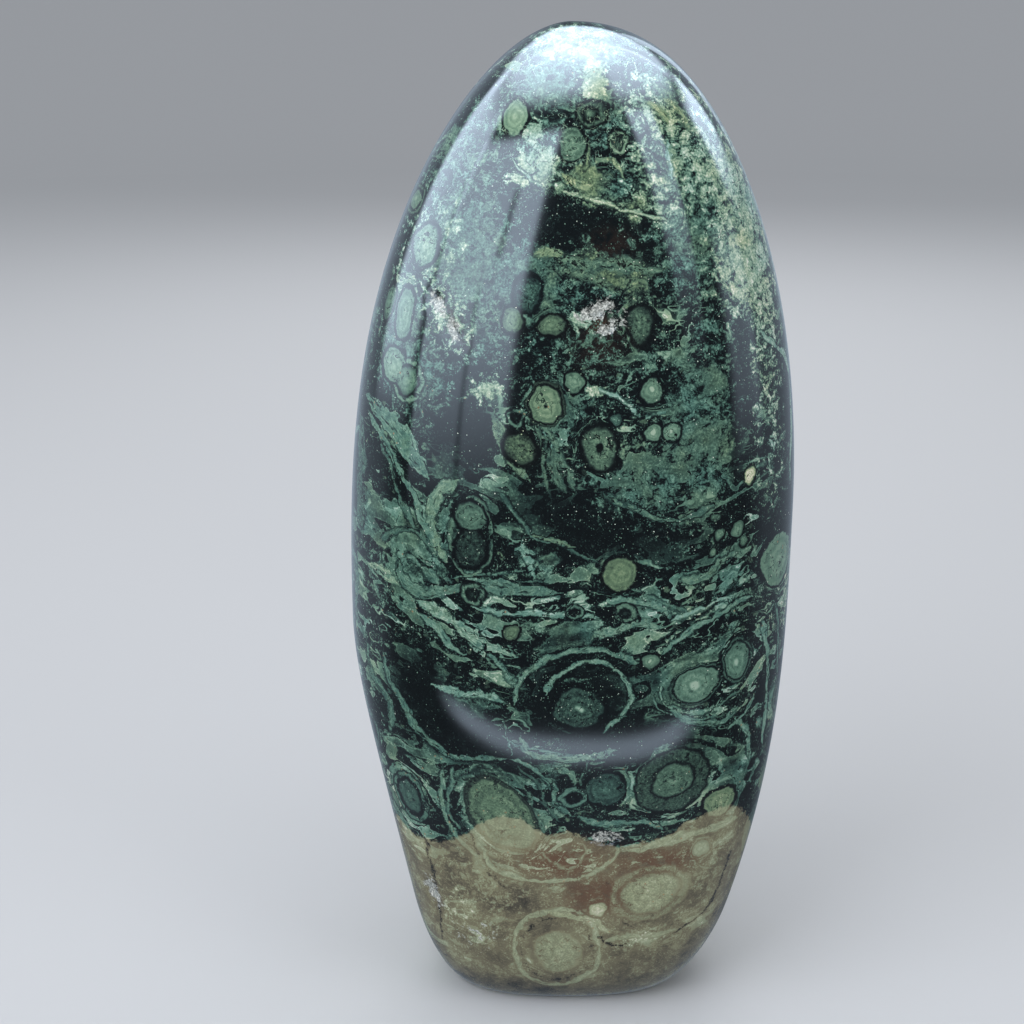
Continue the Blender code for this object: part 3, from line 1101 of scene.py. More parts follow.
class Graph:
    """A node tree, with short calls for the nodes that the finishes are made of."""

    def __init__(self, tree: bpy.types.NodeTree) -> None:
        """Starts on a tree and clears it."""
        self.tree = tree
        tree.nodes.clear()

    def add(self, kind: str, **settings: object) -> bpy.types.Node:
        """Adds a node.

        Args:
            kind: the node's type name.
            settings: its properties by name.

        Returns:
            The node.
        """
        node = self.tree.nodes.new(kind)
        for name, value in settings.items():
            setattr(node, name, value)
        return node

    def feed(self, socket: bpy.types.NodeSocket, value: Value) -> None:
        """Sets a socket to a plain value, or links it to a wire.

        Args:
            socket: the input.
            value: what it takes.
        """
        if isinstance(value, Wire):
            self.tree.links.new(value.socket, socket)
        else:
            socket.default_value = value

    def node(self, kind: str, inputs: dict, output: Union[int, str] = 0, **settings: object) -> Wire:
        """Adds a node and feeds it.

        Args:
            kind: the node's type name.
            inputs: what its inputs take, by number or name.
            output: number or name of the output that is wanted.
            settings: its properties by name.

        Returns:
            The wanted output.
        """
        node = self.add(kind, **settings)
        for key, value in inputs.items():
            self.feed(node.inputs[key], value)
        return Wire(self, node.outputs[output])

    def calculate(self, operation: str, *values: Value) -> Wire:
        """Adds a Math node, or a Vector Math node where one of the values is a vector."""
        kind = "ShaderNodeVectorMath" if any(is_vector(value) for value in values) else "ShaderNodeMath"
        return self.node(kind, dict(enumerate(values)), operation=operation)

    def mix(self, share: Value, a: Value, b: Value) -> Wire:
        """Mixes two numbers, two vectors or two colours.

        Args:
            share: how much of the second one there is.
            a: the first.
            b: the second.

        Returns:
            The mixture.
        """
        known = a if isinstance(a, Wire) else b
        kind = known.socket.type if isinstance(known, Wire) else "VALUE"
        data, first = {"VALUE": ("FLOAT", 2), "VECTOR": ("VECTOR", 4), "RGBA": ("RGBA", 6)}[kind]
        return self.node("ShaderNodeMix", {0: share, first: a, first + 1: b}, first // 2 - 1, data_type=data)

    def join(self, *values: Value) -> Wire:
        """Makes a vector of three numbers."""
        return self.node("ShaderNodeCombineXYZ", dict(enumerate(values)))

    def layer(self, name: str) -> Wire:
        """Reads a vector that was laid on the mesh."""
        return self.node("ShaderNodeAttribute", {}, "Vector", attribute_name=name)

    def millimetres(self) -> Wire:
        """The place on the stone, in millimetres."""
        return self.node("ShaderNodeTexCoord", {}, "Object") * (1.0 / MM)

    def noise(self, where: Wire, scale: float, detail: float = 2.0, rough: float = 0.6,
              output: str = "Fac") -> Wire:
        """Smooth noise, as one number or, by the output Color, as three."""
        inputs = {"Vector": where, "Scale": scale, "Detail": detail, "Roughness": rough}
        return self.node("ShaderNodeTexNoise", inputs, output)

    def cells(self, where: Wire, scale: float) -> tuple[Wire, ...]:
        """Scattered cells: the distance to the cell's point, and three numbers that the cell has drawn."""
        distance = self.node("ShaderNodeTexVoronoi", {"Vector": where, "Scale": scale}, "Distance")
        return (distance, *Wire(self, distance.socket.node.outputs["Color"]).parts())

    def ramp(self, x: Wire, stops: tuple) -> Wire:
        """A colour ramp.

        Args:
            x: the place along the ramp.
            stops: the place and the 8-bit display colour of each stop.

        Returns:
            The colour.
        """
        ramp = self.node("ShaderNodeValToRGB", {0: x})
        elements = ramp.socket.node.color_ramp.elements
        while len(elements) > 1:
            elements.remove(elements[-1])
        for index, (place, colour) in enumerate(stops):
            element = elements[0] if index == 0 else elements.new(place)
            element.position = place
            element.color = display(colour)
        return ramp

    def group(self, tree: bpy.types.NodeTree, **values: Value) -> dict[str, Wire]:
        """Places a node group.

        Args:
            tree: the group.
            values: what its inputs take, by name.

        Returns:
            Its outputs by name.
        """
        node = self.add("ShaderNodeGroup", node_tree=tree)
        for name, value in values.items():
            self.feed(node.inputs[name], value)
        return {socket.name: Wire(self, socket) for socket in node.outputs}

    def bump(self, height: Wire, depth: float) -> Wire:
        """The normal of a surface that rises by a depth in millimetres."""
        return self.node("ShaderNodeBump", {"Strength": 1.0, "Distance": depth * MM, "Height": height})

    def surface(self, shader: str, inputs: dict[str, Value]) -> None:
        """Adds a surface shader, feeds it and joins it to the material's output."""
        end = self.add("ShaderNodeOutputMaterial")
        self.feed(end.inputs["Surface"], self.node(shader, inputs))


def display(colour: tuple[int, int, int]) -> tuple[float, float, float, float]:
    """Turns an 8-bit display colour into scene-linear light.

    Args:
        colour: red, green and blue.

    Returns:
        The same colour with an alpha of 1.
    """
    parts = [c / 255.0 for c in colour]
    linear = [p / 12.92 if p <= 0.04045 else ((p + 0.055) / 1.055) ** 2.4 for p in parts]
    return (linear[0], linear[1], linear[2], 1.0)


def new_material(name: str) -> tuple[bpy.types.Material, Graph]:
    """Makes an empty material.

    Args:
        name: the material's name.

    Returns:
        The material and a graph on it.
    """
    material = bpy.data.materials.new(name)
    material.use_nodes = True
    return material, Graph(material.node_tree)


def new_group(name: str, inputs: dict[str, str], outputs: dict[str, str]) -> tuple:
    """Makes an empty shader group.

    Args:
        name: the group's name.
        inputs: kind (Float, Vector or Color) of each input by its name.
        outputs: the same for each output.

    Returns:
        The tree, a graph on it, wires from its inputs by name, and its output sockets by name.
    """
    tree = bpy.data.node_groups.new(name, "ShaderNodeTree")
    graph = Graph(tree)
    for direction, sockets in (("INPUT", inputs), ("OUTPUT", outputs)):
        for label, kind in sockets.items():
            tree.interface.new_socket(name=label, in_out=direction, socket_type=f"NodeSocket{kind}")
    start, end = graph.add("NodeGroupInput"), graph.add("NodeGroupOutput")
    return tree, graph, {label: Wire(graph, start.outputs[label]) for label in inputs}, end.inputs


# Finishes


@dataclass(frozen=True)
class Palette:
    """Colours of the stone from its darkest to its palest tone, in 8-bit display values."""

    cool: tuple = (
        (0.0, (7, 11, 13)), (0.14, (16, 26, 27)), (0.3, (36, 58, 55)), (0.46, (64, 98, 89)),
        (0.62, (96, 137, 123)), (0.78, (136, 174, 160)), (0.9, (176, 202, 192)), (1.0, (222, 230, 224)),
    )
    warm: tuple = (
        (0.0, (9, 11, 12)), (0.14, (20, 26, 24)), (0.3, (44, 56, 48)), (0.46, (74, 94, 74)),
        (0.62, (106, 130, 98)), (0.78, (146, 164, 124)), (0.9, (194, 198, 158)), (1.0, (234, 228, 204)),
    )
    brown: tuple = (
        (0.0, (42, 42, 38)), (0.12, (90, 85, 71)), (0.26, (121, 115, 92)), (0.42, (143, 142, 112)),
        (0.6, (163, 165, 132)), (0.78, (184, 186, 152)), (0.9, (208, 206, 178)), (1.0, (236, 230, 214)),
    )
    quartz: tuple = ((0.3, (96, 96, 90)), (0.5, (152, 156, 150)), (0.68, (228, 228, 220)))
    rust: tuple[int, int, int] = (104, 74, 56)
    freckle: tuple[int, int, int] = (168, 128, 92)


MARKING_OUTPUTS = {"Tone": "Float", "Warmth": "Float", "Mask": "Float"}


@dataclass
class OrbRings:
    """Shader group that draws an orb's dot, nucleus, dark gap and ring."""

    blur: float = 0.16
    grain_blur: float = 0.34
    banding: float = 0.05
    band_turns: float = 17.0
    lens: float = 0.12
    gap_tone: float = 0.02
    dark_dot: float = 0.03
    pale_dot: float = 0.84
    dot_blur: float = 0.07

    def build(self) -> bpy.types.NodeTree:
        """Builds the group.

        Returns:
            The group's tree.
        """
        tree, g, given, out = new_group(
            "orb rings",
            {"Local": "Vector", "Rings": "Vector", "Tint": "Vector", "Extra": "Vector", "Warp": "Vector",
             "Grain": "Float", "Mottle": "Float"},
            MARKING_OUTPUTS,
        )
        nucleus, ring_in, ring_out = given["Rings"].parts()
        tone, warmth, ring_tone = given["Tint"].parts()
        dot, grain, size = given["Extra"].parts()
        uneven, mottle = given["Grain"] - 0.5, given["Mottle"]
        per_size = 1.0 / size.do("MAXIMUM", 1.2)
        place = (given["Local"] + given["Warp"] * (per_size * 0.7)) * (1.0, 1.0, 0.0)
        radius = place.length() + uneven * per_size * 0.9
        soft = per_size * grain.scaled(self.grain_blur, self.blur)
        inside = radius.step(nucleus + soft, nucleus - soft)
        lit = (0.5 - radius / nucleus.do("MAXIMUM", 0.05)) * self.lens
        bands = (radius * self.band_turns).do("SINE") * self.banding
        swing = uneven * grain.scaled(0.9, 0.35)
        hole = mottle.step(0.56, 0.66) * (grain * -0.42)
        core = tone + lit + (swing + bands) + hole
        ring = radius.step(ring_in - soft, ring_in + soft) * radius.step(ring_out + soft, ring_out - soft)
        ring = ring * ring_tone.do("GREATER_THAN", 0.02) * mottle.step(0.66, 0.5)
        gap = given["Grain"].step(0.52, 0.7).scaled(0.3, self.gap_tone)
        shade = g.mix(ring, g.mix(inside, gap, core), swing.scaled(1.2, ring_tone))
        reach = abs(dot)
        in_dot = radius.step(reach + self.dot_blur, reach - self.dot_blur) * reach.do("GREATER_THAN", 0.02)
        shade = g.mix(in_dot, shade, g.mix(dot.do("GREATER_THAN", 0.0), self.dark_dot, self.pale_dot))
        rim = soft.scaled(0.2, 0.98)
        g.feed(out["Tone"], shade)
        g.feed(out["Warmth"], warmth)
        g.feed(out["Mask"], radius.step(soft.scaled(1.6, rim), rim))
        return tree


@dataclass
class RibbonBands:
    """Shader group that draws a ribbon with fibres along it and a dark outline."""

    outline: float = 0.4
    least_half: float = 0.12
    ground_tone: float = 0.02
    fibre_across: float = 1.5
    fibre_along: float = 0.22
    edge_light: float = 0.1

    def build(self) -> bpy.types.NodeTree:
        """Builds the group.

        Returns:
            The group's tree.
        """
        tree, g, given, out = new_group(
            "ribbon bands",
            {"Place": "Vector", "Tint": "Vector", "Warp": "Vector", "Grain": "Float", "Mottle": "Float"},
            MARKING_OUTPUTS,
        )
        across, along, half = given["Place"].parts()
        tone, warmth, feather = given["Tint"].parts()
        push, _, lift = given["Warp"].parts()
        uneven, mottle = given["Grain"] - 0.5, given["Mottle"]
        width = half.do("MAXIMUM", self.least_half)
        moved = across + (push + lift) * feather.scaled(0.5, 0.2) / width
        moved = moved / lift.scaled(0.55, 1.0).do("MAXIMUM", 0.35)
        share = abs(moved) + uneven * feather.scaled(2.2, 1.0) / width
        soft = feather.scaled(0.3, 0.1) / width
        body = share.step(soft + 1.0, 1.0 - soft)
        around = self.outline / width + 1.0
        dark = share.step(around + soft, around - soft)
        fibre_place = g.join(moved * half * self.fibre_across, along * self.fibre_along, tone * 40.0)
        fibre = g.noise(fibre_place, 1.0)
        streak = abs(fibre - 0.5).step(0.035, 0.01)
        gap = fibre.step(0.58, 0.7) * half.do("GREATER_THAN", 0.45)
        swing = uneven * feather.scaled(0.7, 0.1) + streak * 0.12 - gap * 0.4
        swing = (mottle - 0.5).scaled(0.7, swing)
        hole = mottle.step(0.54, 0.62) * (feather * -0.45)
        lit = share.step(0.55, 0.95).scaled(self.edge_light, tone + 0.03)
        edge = dark * (feather - 0.8).clamped().scaled(-4.0, 0.6).clamped()
        g.feed(out["Tone"], g.mix(body, self.ground_tone, lit + (swing + hole)))
        g.feed(out["Warmth"], (mottle - 0.5).scaled(1.2, warmth))
        g.feed(out["Mask"], body.do("MAXIMUM", edge))
        return tree


@dataclass(frozen=True)
class Grains:
    """The noises that all markings share, from fine to broad, and the push that bends their edges."""

    where: Wire
    warp: Wire
    pushed: Wire
    fine: Wire
    medium: Wire
    broad: Wire
    even: Wire


@dataclass
class StoneBody:
    """Shader group that puts all markings together in one colour, and gives masks for the finish."""

    palette: Palette = field(default_factory=Palette)
    pushes: tuple = ((0.15, 1.0, 3.6), (0.5, 2.0, 2.2))
    weaves: tuple = ((0.7, 0.17, 0.5, 0.2), (1.4, 0.1, 0.6, 0.24), (3.0, -0.02, 0.62, 0.0))
    weave_pitch: tuple[float, float] = (0.055, 0.1)
    weave_turns: float = 3.6
    ground_tone: float = 0.03
    blob_pitch: float = 0.46
    speck_pitch: float = 2.1
    crack_tone: float = 0.06
    edge_wander: float = 4.0
    earth_share: float = 0.3

    def _grains(self, g: Graph) -> Grains:
        """Makes the shared noises, and a slow and a quick push, so that no edge is a clean curve.

        Args:
            g: the graph to build in.

        Returns:
            The noises.
        """
        where = g.millimetres()
        slow, quick = (
            (g.noise(where, scale, detail, 0.5, "Color") - (0.5, 0.5, 0.5)) * amount
            for scale, detail, amount in self.pushes
        )
        warp = slow + quick
        pushed = where + warp
        fine, medium = g.noise(where, 2.3), g.noise(pushed, 0.55, 4.0, 0.68)
        broad, even = g.noise(pushed, 0.12), fine.scaled(0.45, medium * 0.55)
        return Grains(where, warp, pushed, fine, medium, broad, even)

    def _ground(self, g: Graph, n: Grains, calm: Wire) -> Wire:
        """Black ground with moss, felt and small blobs.

        Args:
            g: the graph to build in.
            n: the shared noises.
            calm: 0 where the black lies pure.

        Returns:
            A vector of tone and warmth.
        """
        moss = n.even.step(0.46, 0.64) * n.broad.step(0.36, 0.6)
        tone = moss * calm.scaled(0.3, 0.06) + self.ground_tone
        felt = n.fine.step(0.56, 0.7) * n.medium.step(0.42, 0.6).scaled(0.34, 0.06)
        tone = felt.scaled(calm.scaled(0.6, 0.4), tone)
        spot, lucky, shade, _ = g.cells(n.pushed, self.blob_pitch)
        blob = (n.even - 0.5).scaled(0.9, spot).step(0.3, 0.2)
        blob = blob * n.broad.scaled(0.5, lucky).step(0.84, 0.94) * calm.scaled(0.75, 0.25)
        tone = g.mix(blob, tone, shade.scaled(0.25, 0.3) + (n.even - 0.5))
        return g.join(tone, blob.scaled(0.45, 0.3), 0.0)

    def _network(self, g: Graph, n: Grains, net: Wire, flow: Wire) -> tuple[Wire, Wire]:
        """Nested ribbons that run along the flow and part around the orbs.

        Args:
            g: the graph to build in.
            n: the shared noises.
            net: how thickly the ribbons lie.
            flow: the height that has been bent round the orbs.

        Returns:
            The mask of the network and its tone.
        """
        x, y, _ = (n.where + n.warp * 0.7).parts()
        level_pitch, rise_pitch = self.weave_pitch
        ragged = n.even - 0.5
        amount = (n.broad - 0.5).scaled(0.9, net).step(-0.1, 0.4)
        waves = []
        for scale, _, _, _ in self.weaves:
            place = g.join(x * (level_pitch * scale), y * (level_pitch * scale), flow * (rise_pitch * scale))
            waves.append(g.noise(place, 1.0, 2.0, 0.55))
        tone, mask = self.ground_tone, 0.0
        for index, (_, thick, level, rim) in enumerate(self.weaves):
            wave, swell, tint = waves[index], waves[(index + 1) % 3], waves[(index + 2) % 3]
            away = ragged.scaled(0.35, abs((wave * self.weave_turns).do("FRACT") - 0.5))
            inner = (swell - 0.5).scaled(1.5, thick) * amount - away
            line = inner.step(-0.03, 0.05)
            shade = (tint - 0.5).scaled(1.3, level) + ragged * 0.9
            if rim:
                shade = abs(inner - 0.03).step(0.05, 0.01).scaled(rim, shade)
            tone = g.mix(line, tone, shade)
            mask = line.do("MAXIMUM", mask)
        return mask, tone

    def _details(self, g: Graph, n: Grains, tone: Wire, wanted: Wire, calm: Wire, specks: Wire,
                 brown: Wire) -> tuple[Wire, Wire]:
        """Draws threads, cracks and specks over the tone.

        Args:
            g: the graph to build in.
            n: the shared noises.
            tone: the tone so far.
            wanted: how thickly the threads lie.
            calm: 0 where the black lies pure.
            specks: how thickly the specks lie.
            brown: 1 in the brown zone.

        Returns:
            The new tone, and the mask of the few coloured freckles.
        """
        curl = g.noise(n.pushed, 0.32)
        thread = abs(curl - 0.5).step(0.007, 0.002) * calm
        thread = thread * (n.medium - 0.56).scaled(2.2, wanted).step(0.0, 0.3)
        tone = g.mix(thread, tone, n.fine.scaled(0.7, 0.42).do("MAXIMUM", tone))
        crack = abs(curl - 0.43).step(0.014, 0.004) * n.broad.step(0.62, 0.4)
        tone = g.mix(crack, tone, self.crack_tone)
        spot, lucky, bright, _ = g.cells(n.where, self.speck_pitch)
        lucky = specks.scaled(0.35, lucky)
        glint = (bright ** 5.0).scaled(0.6, bright * 0.5) * brown.scaled(-0.6, 1.0)
        speck = (n.fine - 0.5).scaled(0.7, spot).step(0.32, 0.12) * lucky.do("GREATER_THAN", 0.6)
        tone = g.mix(speck, tone, glint.do("MAXIMUM", tone))
        freckle = spot.step(0.6, 0.4) * lucky.do("LESS_THAN", 0.01) * tone.step(0.4, 0.6)
        return tone, freckle

    def build(self) -> bpy.types.NodeTree:
        """Builds the group, which both the polished and the sawn finish use.

        Returns:
            The group's tree.
        """
        orb_tree, ribbon_tree = OrbRings().build(), RibbonBands().build()
        tree, g, _, out = new_group(
            "kambaba body", {}, {"Colour": "Color", "Quartz": "Float", "Grain": "Float"},
        )
        n = self._grains(g)
        green, olive, pale = g.layer("grains_a").parts()
        # The second channel of grains_b holds black grains and also the band of painted shade along the
        # foot, which darkens the tone there.
        quartz, black, rust = g.layer("grains_b").parts()
        hair, specks, _ = g.layer("grains_c").parts()
        below, net, flow = g.layer("zones").parts()
        calm = 1.0 - black
        brown = (n.medium - 0.5).scaled(self.edge_wander, below).step(-0.4, 0.4)

        state = self._ground(g, n, calm)
        mask, level = self._network(g, n, net, flow)
        state = g.mix(mask * calm, state, g.join(level, n.broad.scaled(1.6, -0.5), 0.0))
        for density, level, warmth, base, softness in (
            (green, 0.46, 0.25, n.medium, 0.08),
            (olive, 0.54, 0.8, n.broad, 0.1),
            (pale, 0.76, 0.5, n.medium, 0.09),
        ):
            threshold = density.scaled(-0.36, 0.7)
            mask = base.scaled(0.6, n.even * 0.4).step(threshold - softness, threshold + softness)
            shade = g.join((n.even - 0.5).scaled(1.6, level), (n.broad - 0.5).scaled(1.6, warmth), 0.0)
            state = g.mix(mask * density.step(0.03, 0.3), state, shade)
        shared = {"Warp": n.warp, "Grain": n.even, "Mottle": n.medium}
        ribbon = g.group(ribbon_tree, Place=g.layer("ribbon_place"), Tint=g.layer("ribbon_tint"), **shared)
        orb = g.group(orb_tree, Local=g.layer("orb_local"), Rings=g.layer("orb_rings"),
                      Tint=g.layer("orb_tint"), Extra=g.layer("orb_extra"), **shared)
        for drawn in (ribbon, orb):
            state = g.mix(drawn["Mask"], state, g.join(drawn["Tone"], drawn["Warmth"], 0.0))

        tone, warmth, _ = state.parts()
        tone, freckle = self._details(g, n, tone, net.scaled(0.2, hair), calm, specks, brown)
        cool, warm = g.ramp(tone, self.palette.cool), g.ramp(tone, self.palette.warm)
        colour = g.mix((warmth * 1.0).clamped(), cool, warm)
        muddy = (g.mix(0.6, n.even, n.broad) - 0.42).scaled(0.95, tone.scaled(0.7, 0.16))
        earthy = brown * tone.step(0.2, 0.55).scaled(-self.earth_share, 1.0)
        colour = g.mix(earthy, colour, g.ramp(black.scaled(-0.14, muddy), self.palette.brown))
        redden = rust * n.broad.scaled(0.3, tone).step(0.75, 0.3) * n.medium.step(0.32, 0.52)
        colour = g.mix(redden * 0.8, colour, display(self.palette.rust))
        colour = g.mix(freckle * 0.7, colour, display(self.palette.freckle))
        threshold = quartz.scaled(-0.32, 0.7)
        white = n.fine.scaled(0.12, n.medium * 0.88).step(threshold - 0.06, threshold + 0.06)
        white = white * quartz.step(0.05, 0.3)
        g.feed(out["Colour"], g.mix(white, colour, g.ramp(n.fine, self.palette.quartz)))
        g.feed(out["Quartz"], white)
        g.feed(out["Grain"], n.even)
        return tree


@dataclass(frozen=True)
class PolishedFinish:
    """Glossy hand-polished skin, rougher where quartz shows."""

    roughness: float = 0.07
    grain_roughness: float = 0.03
    quartz_roughness: float = 0.35
    index: float = 1.54
    ripple: float = 0.06
    ripple_pitch: float = 1.3

    def build(self, body: bpy.types.NodeTree) -> bpy.types.Material:
        """Builds the material on the stone's shared body group.

        Args:
            body: the group.

        Returns:
            The material.
        """
        material, g = new_material("polished_kambaba")
        stone = g.group(body)
        quartz, _, _ = g.layer("grains_b").parts()
        ripple = g.noise(g.millimetres(), self.ripple_pitch, 0.0, 0.5) * quartz.step(0.1, 0.5)
        rough = stone["Grain"].scaled(self.grain_roughness, self.roughness)
        g.surface("ShaderNodeBsdfPrincipled", {
            "Base Color": stone["Colour"],
            "Roughness": g.mix(stone["Quartz"], rough, self.quartz_roughness),
            "IOR": self.index,
            "Normal": g.bump(ripple, self.ripple),
        })
        return material


@dataclass(frozen=True)
class SawnFinish:
    """Matt sawn flat under the foot."""

    roughness: float = 0.62
    mark_roughness: float = 0.2
    mark_spacing: float = 1.1
    mark_stretch: float = 0.04
    mark_depth: float = 0.08
    dust: tuple[int, int, int] = (132, 128, 118)
    dust_share: float = 0.45
    shadow: tuple[int, int, int] = (60, 58, 54)
    shadow_share: float = 0.3

    def build(self, body: bpy.types.NodeTree) -> bpy.types.Material:
        """Builds the material on the stone's shared body group.

        Args:
            body: the group.

        Returns:
            The material.
        """
        material, g = new_material("sawn_kambaba")
        stone = g.group(body)
        marks = g.noise(g.millimetres() * (1.0 / self.mark_spacing, self.mark_stretch, 1.0), 1.0, 3.0)
        colour = g.mix(self.dust_share, stone["Colour"], display(self.dust))
        g.surface("ShaderNodeBsdfPrincipled", {
            "Base Color": g.mix(marks * self.shadow_share, colour, display(self.shadow)),
            "Roughness": marks.scaled(self.mark_roughness, self.roughness),
            "Normal": g.bump(marks, self.mark_depth),
        })
        return material


@dataclass
class Stone:
    """The whole polished stone: its skin, its two finishes and its place on the solid."""

    skin: Skin = field(default_factory=Skin)

    def build(self) -> bpy.types.Object:
        """Builds the stone's one piece and lets it stand for the solid.

        Returns:
            The piece.
        """
        piece = self.skin.build()
        body = StoneBody().build()
        for finish in (PolishedFinish(), SawnFinish()):
            piece.data.materials.append(finish.build(body))
        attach(piece, BODY)
        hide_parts(NODE)
        return piece


# Studio


@dataclass(frozen=True)
class Lamp:
    """A soft box that lights the stone and the floor, and that reflections don't show."""

    name: str
    azimuth: float
    elevation: float
    distance: float
    size: float
    radiance: float
    colour: tuple[float, float, float] = (1.0, 1.0, 1.0)
    aim_height: float = 100.0

    def build(self) -> bpy.types.Object:
        """Hangs the lamp so that its face looks at the stone.

        Returns:
            The lamp.
        """
        data = bpy.data.lights.new(self.name, "AREA")
        data.size = self.size * MM
        data.energy = self.radiance * data.size**2 * math.pi
        data.color = self.colour
        lamp = bpy.data.objects.new(self.name, data)
        azimuth, elevation = math.radians(self.azimuth), math.radians(self.elevation)
        level = math.cos(elevation)
        away = Vector((math.sin(azimuth) * level, -math.cos(azimuth) * level, math.sin(elevation)))
        lamp.location = (away * self.distance + Vector((0.0, 0.0, self.aim_height))) * MM
        lamp.rotation_mode = "QUATERNION"
        lamp.rotation_quaternion = (-away).to_track_quat("-Z", "Y")
        lamp.visible_camera = False
        lamp.visible_glossy = False
        bpy.context.scene.collection.objects.link(lamp)
        return lamp


@dataclass(frozen=True)
class Glow:
    """A window or soft box as the polish mirrors it, by the direction in which it stands.

    Azimuth is 0 towards the camera and grows to the right; elevation is above the horizon; both are
    degrees. The left and right edges are given at the foot and at the head of the glow.
    """

    foot: tuple[float, float]
    head: tuple[float, float]
    elevation: tuple[float, float]
    radiance: tuple[float, float]
    soft: float = 2.0
    curve: float = 1.0
    bow: float = 0.0
    bow_span: float = 36.0
    fade: float = 0.0

    @staticmethod
    def _along(g: Graph, rise: Wire, ends: tuple[float, float]) -> Value:
        """A value that changes along the glow, or a plain number where its ends are the same."""
        return ends[0] if ends[0] == ends[1] else g.mix(rise, *ends)

    def draw(self, g: Graph, azimuth: Wire, elevation: Wire) -> Wire:
        """Gives how bright this glow is in a direction.

        Args:
            g: the world's graph.
            azimuth: the direction's azimuth in degrees.
            elevation: its elevation in degrees.

        Returns:
            The radiance.
        """
        low, high = self.elevation
        if self.bow:
            elevation = (abs(azimuth * (1.0 / self.bow_span)) ** 2.0).scaled(-self.bow, elevation)
        middles = tuple((left + right) / 2 for left, right in (self.foot, self.head))
        halves = tuple((right - left) / 2 for left, right in (self.foot, self.head))
        rise = ((elevation - low) / (high - low)).clamped()
        past = abs(azimuth - self._along(g, rise, middles)) - self._along(g, rise, halves)
        fade, half = self.fade or self.soft, (high - low) / 2
        beyond = abs(elevation - (low + high) / 2)
        within = past.step(fade, -fade) * beyond.step(half + self.soft, half - self.soft)
        climb = rise if self.curve == 1.0 else rise**self.curve
        return within * self._along(g, climb, self.radiance)


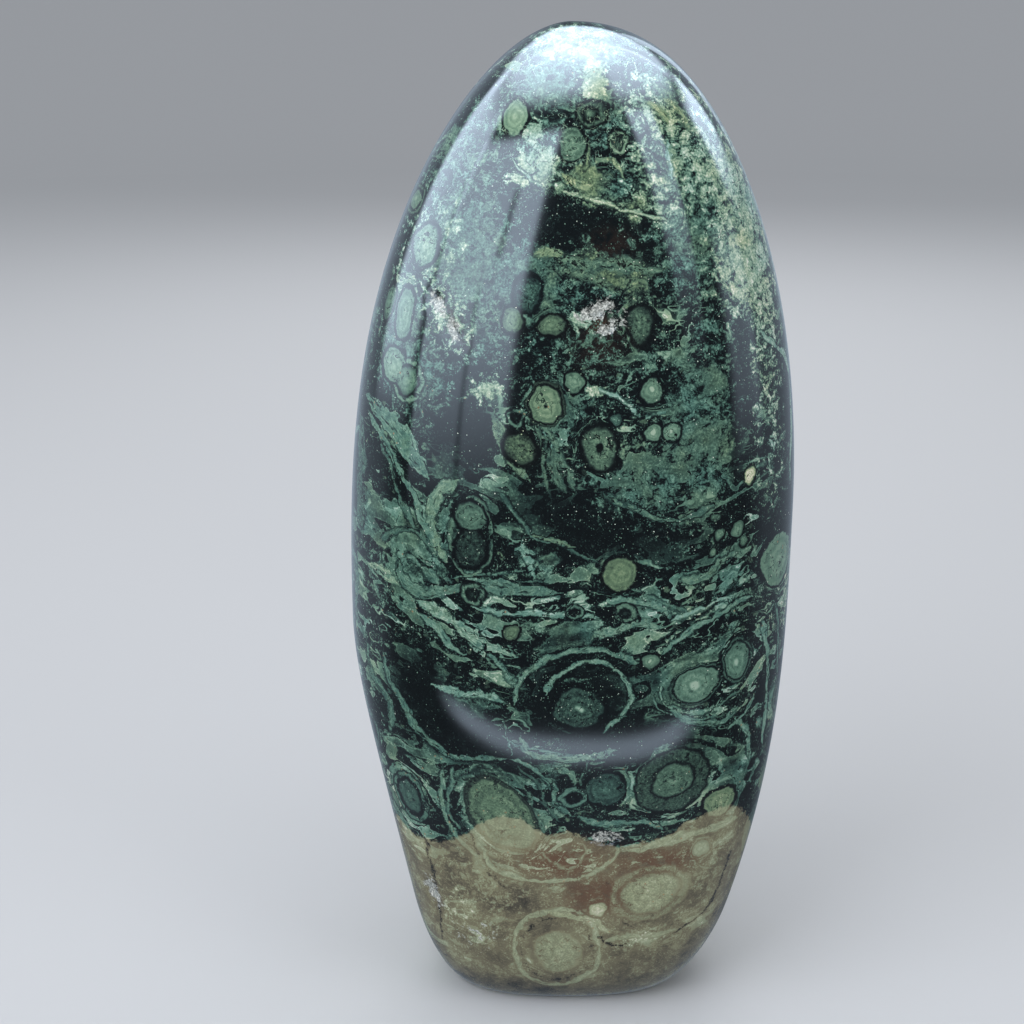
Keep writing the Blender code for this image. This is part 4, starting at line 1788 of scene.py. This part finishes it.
@dataclass(frozen=True)
class Studio:
    """Plain pale floor that rises into a backdrop, soft lamps, and what the polish mirrors."""

    floor_reach: float = 1500.0
    bend: float = 900.0
    wall_height: float = 2600.0
    floor_colour: tuple[int, int, int] = (196, 198, 202)
    paper_depth: float = 0.05
    turns: int = 96
    bend_steps: int = 24
    fill: float = 0.5
    dark: float = 0.12
    floor_glow: float = 0.14
    floor_edge: tuple[float, float] = (-34.0, -42.0)
    sky: tuple[float, float, float, float] = (0.94, 0.97, 1.0, 1.0)
    mirror_tint: tuple[float, float, float, float] = (0.82, 1.0, 1.22, 1.0)
    lamps: tuple[Lamp, ...] = (
        Lamp("left_box", -50.0, 38.0, 1000.0, 700.0, 3.2, (0.94, 0.96, 1.0)),
        Lamp("right_box", 55.0, 30.0, 1000.0, 500.0, 1.6, (0.96, 0.97, 1.0)),
        Lamp("top_box", 10.0, 78.0, 1100.0, 800.0, 2.2),
        Lamp("back_box", 175.0, 35.0, 1000.0, 600.0, 2.2),
    )
    glows: tuple[Glow, ...] = (
        Glow((-62.0, -11.0), (-62.0, -4.0), (10.0, 38.0), (5.0, 6.6), soft=1.3),
        Glow((-62.0, -14.0), (-62.0, -11.0), (-12.0, 10.0), (0.15, 5.0), soft=1.6),
        Glow((-24.0, -21.0), (-21.0, -18.0), (16.0, 27.0), (-3.8, -3.8), soft=1.0),
        Glow((-33.0, -30.5), (-30.5, -28.5), (-11.0, 12.0), (-0.4, -2.6), soft=0.8),
        Glow((-112.0, -70.0), (-118.0, -57.0), (-2.0, 46.0), (3.6, 9.6), soft=6.0),
        Glow((31.0, 41.0), (17.5, 38.0), (0.0, 44.0), (0.1, 8.4), soft=1.6, curve=1.7),
        Glow((58.0, 84.0), (56.0, 84.0), (-8.0, 16.0), (1.0, 2.2), soft=5.0),
        Glow((92.0, 128.0), (88.0, 124.0), (19.0, 38.0), (3.5, 12.0), soft=5.0),
        Glow((-104.0, 5.0), (-108.0, 16.0), (49.0, 90.0), (8.0, 21.0), soft=6.0),
        Glow((13.0, 112.0), (8.0, 112.0), (48.0, 90.0), (8.0, 19.0), soft=6.0),
        Glow((-37.0, 37.0), (-37.0, 37.0), (-35.6, -32.4), (3.3, 3.3), soft=0.9, bow=3.7, fade=9.0),
        Glow((78.0, 172.0), (78.0, 172.0), (-24.0, 60.0), (0.3, 0.9), soft=14.0),
        Glow((-172.0, -84.0), (-172.0, -84.0), (-30.0, 60.0), (0.4, 0.8), soft=14.0),
        Glow((108.0, 192.0), (108.0, 192.0), (43.0, 90.0), (6.0, 15.0), soft=6.0),
        Glow((-192.0, -104.0), (-192.0, -104.0), (43.0, 90.0), (6.0, 16.0), soft=6.0),
        Glow((150.0, 164.0), (148.0, 162.0), (4.0, 40.0), (0.5, 3.0), soft=2.0),
    )

    def _surface(self, name: str, profile: list[tuple[float, float]], reflects: bool) -> bpy.types.Object:
        """Turns a profile round the upright axis.

        Args:
            name: the object's name.
            profile: radius and height of each step in millimetres.
            reflects: whether bounced light meets the surface.

        Returns:
            The stage object.
        """
        steps = self.turns
        turn = [2.0 * math.pi * i / steps for i in range(steps)]
        points = [(math.cos(a) * r * MM, math.sin(a) * r * MM, z * MM) for r, z in profile for a in turn]
        faces = []
        for ring in range(len(profile) - 1):
            for i in range(steps):
                j, low, high = (i + 1) % steps, ring * steps, (ring + 1) * steps
                faces.append((low + j, low + i, high + i, high + j))
        mesh = bpy.data.meshes.new(name)
        mesh.from_pydata(points, [], faces)
        mesh.shade_smooth()
        thing = bpy.data.objects.new(name, mesh)
        bpy.context.scene.collection.objects.link(thing)
        thing.visible_glossy = False
        thing.visible_diffuse = reflects
        thing.visible_shadow = reflects
        return thing

    def _floor(self) -> None:
        """Lays the floor and the backdrop that it rises into."""
        material, g = new_material("studio_paper")
        g.surface("ShaderNodeBsdfDiffuse", {"Color": display(self.floor_colour)})
        flat = [(radius, -self.paper_depth) for radius in (0.5, 300.0, 800.0, self.floor_reach)]
        curve = []
        for step in range(self.bend_steps + 1):
            turn = math.pi / 2 * step / self.bend_steps
            rise = self.bend * (1.0 - math.cos(turn)) - self.paper_depth
            curve.append((self.floor_reach + self.bend * math.sin(turn), rise))
        curve.append((self.floor_reach + self.bend, self.wall_height))
        for name, profile, reflects in (("floor", flat, True), ("backdrop", curve, False)):
            self._surface(name, profile, reflects).data.materials.append(material)

    def _surround(self) -> None:
        """An even dome of light, in which the polish sees the glows."""
        world = bpy.data.worlds.new("surround")
        bpy.context.scene.world = world
        world.use_nodes = True
        g = Graph(world.node_tree)
        x, y, z = g.node("ShaderNodeTexCoord", {}, "Generated").parts()
        azimuth = x.do("ARCTAN2", y * -1.0).do("DEGREES")
        elevation = z.do("ARCSINE").do("DEGREES")
        mirrored = elevation.step(*self.floor_edge).scaled(self.floor_glow, self.dark)
        for glow in self.glows:
            mirrored = (mirrored + glow.draw(g, azimuth, elevation)).do("MAXIMUM", 0.0)
        even, seen = (
            g.node("ShaderNodeBackground", {"Color": colour, "Strength": strength})
            for colour, strength in ((self.sky, self.fill), (self.mirror_tint, mirrored))
        )
        glossy = g.node("ShaderNodeLightPath", {}, "Is Glossy Ray")
        either = g.node("ShaderNodeMixShader", {0: glossy, 1: even, 2: seen})
        g.feed(g.add("ShaderNodeOutputWorld").inputs["Surface"], either)

    def build(self) -> None:
        """Builds the floor, the surround and the lamps."""
        self._floor()
        self._surround()
        for lamp in self.lamps:
            lamp.build()
        bpy.context.scene.view_settings.view_transform = "Standard"


def main() -> None:
    """Builds the stone, the camera and the studio in order, and reports each."""
    logging.basicConfig(level=logging.INFO, format="%(message)s")
    stone = Stone()
    piece = stone.build()
    log.info("stone: %d faces, slots %s", len(piece.data.polygons), [m.name for m in piece.data.materials])
    camera = PhotoView().build()
    log.info("camera: %.1f mm lens", camera.data.lens)
    studio = Studio()
    studio.build()
    log.info("studio: %d lamps", len(studio.lamps))


if __name__ == "__main__":
    main()
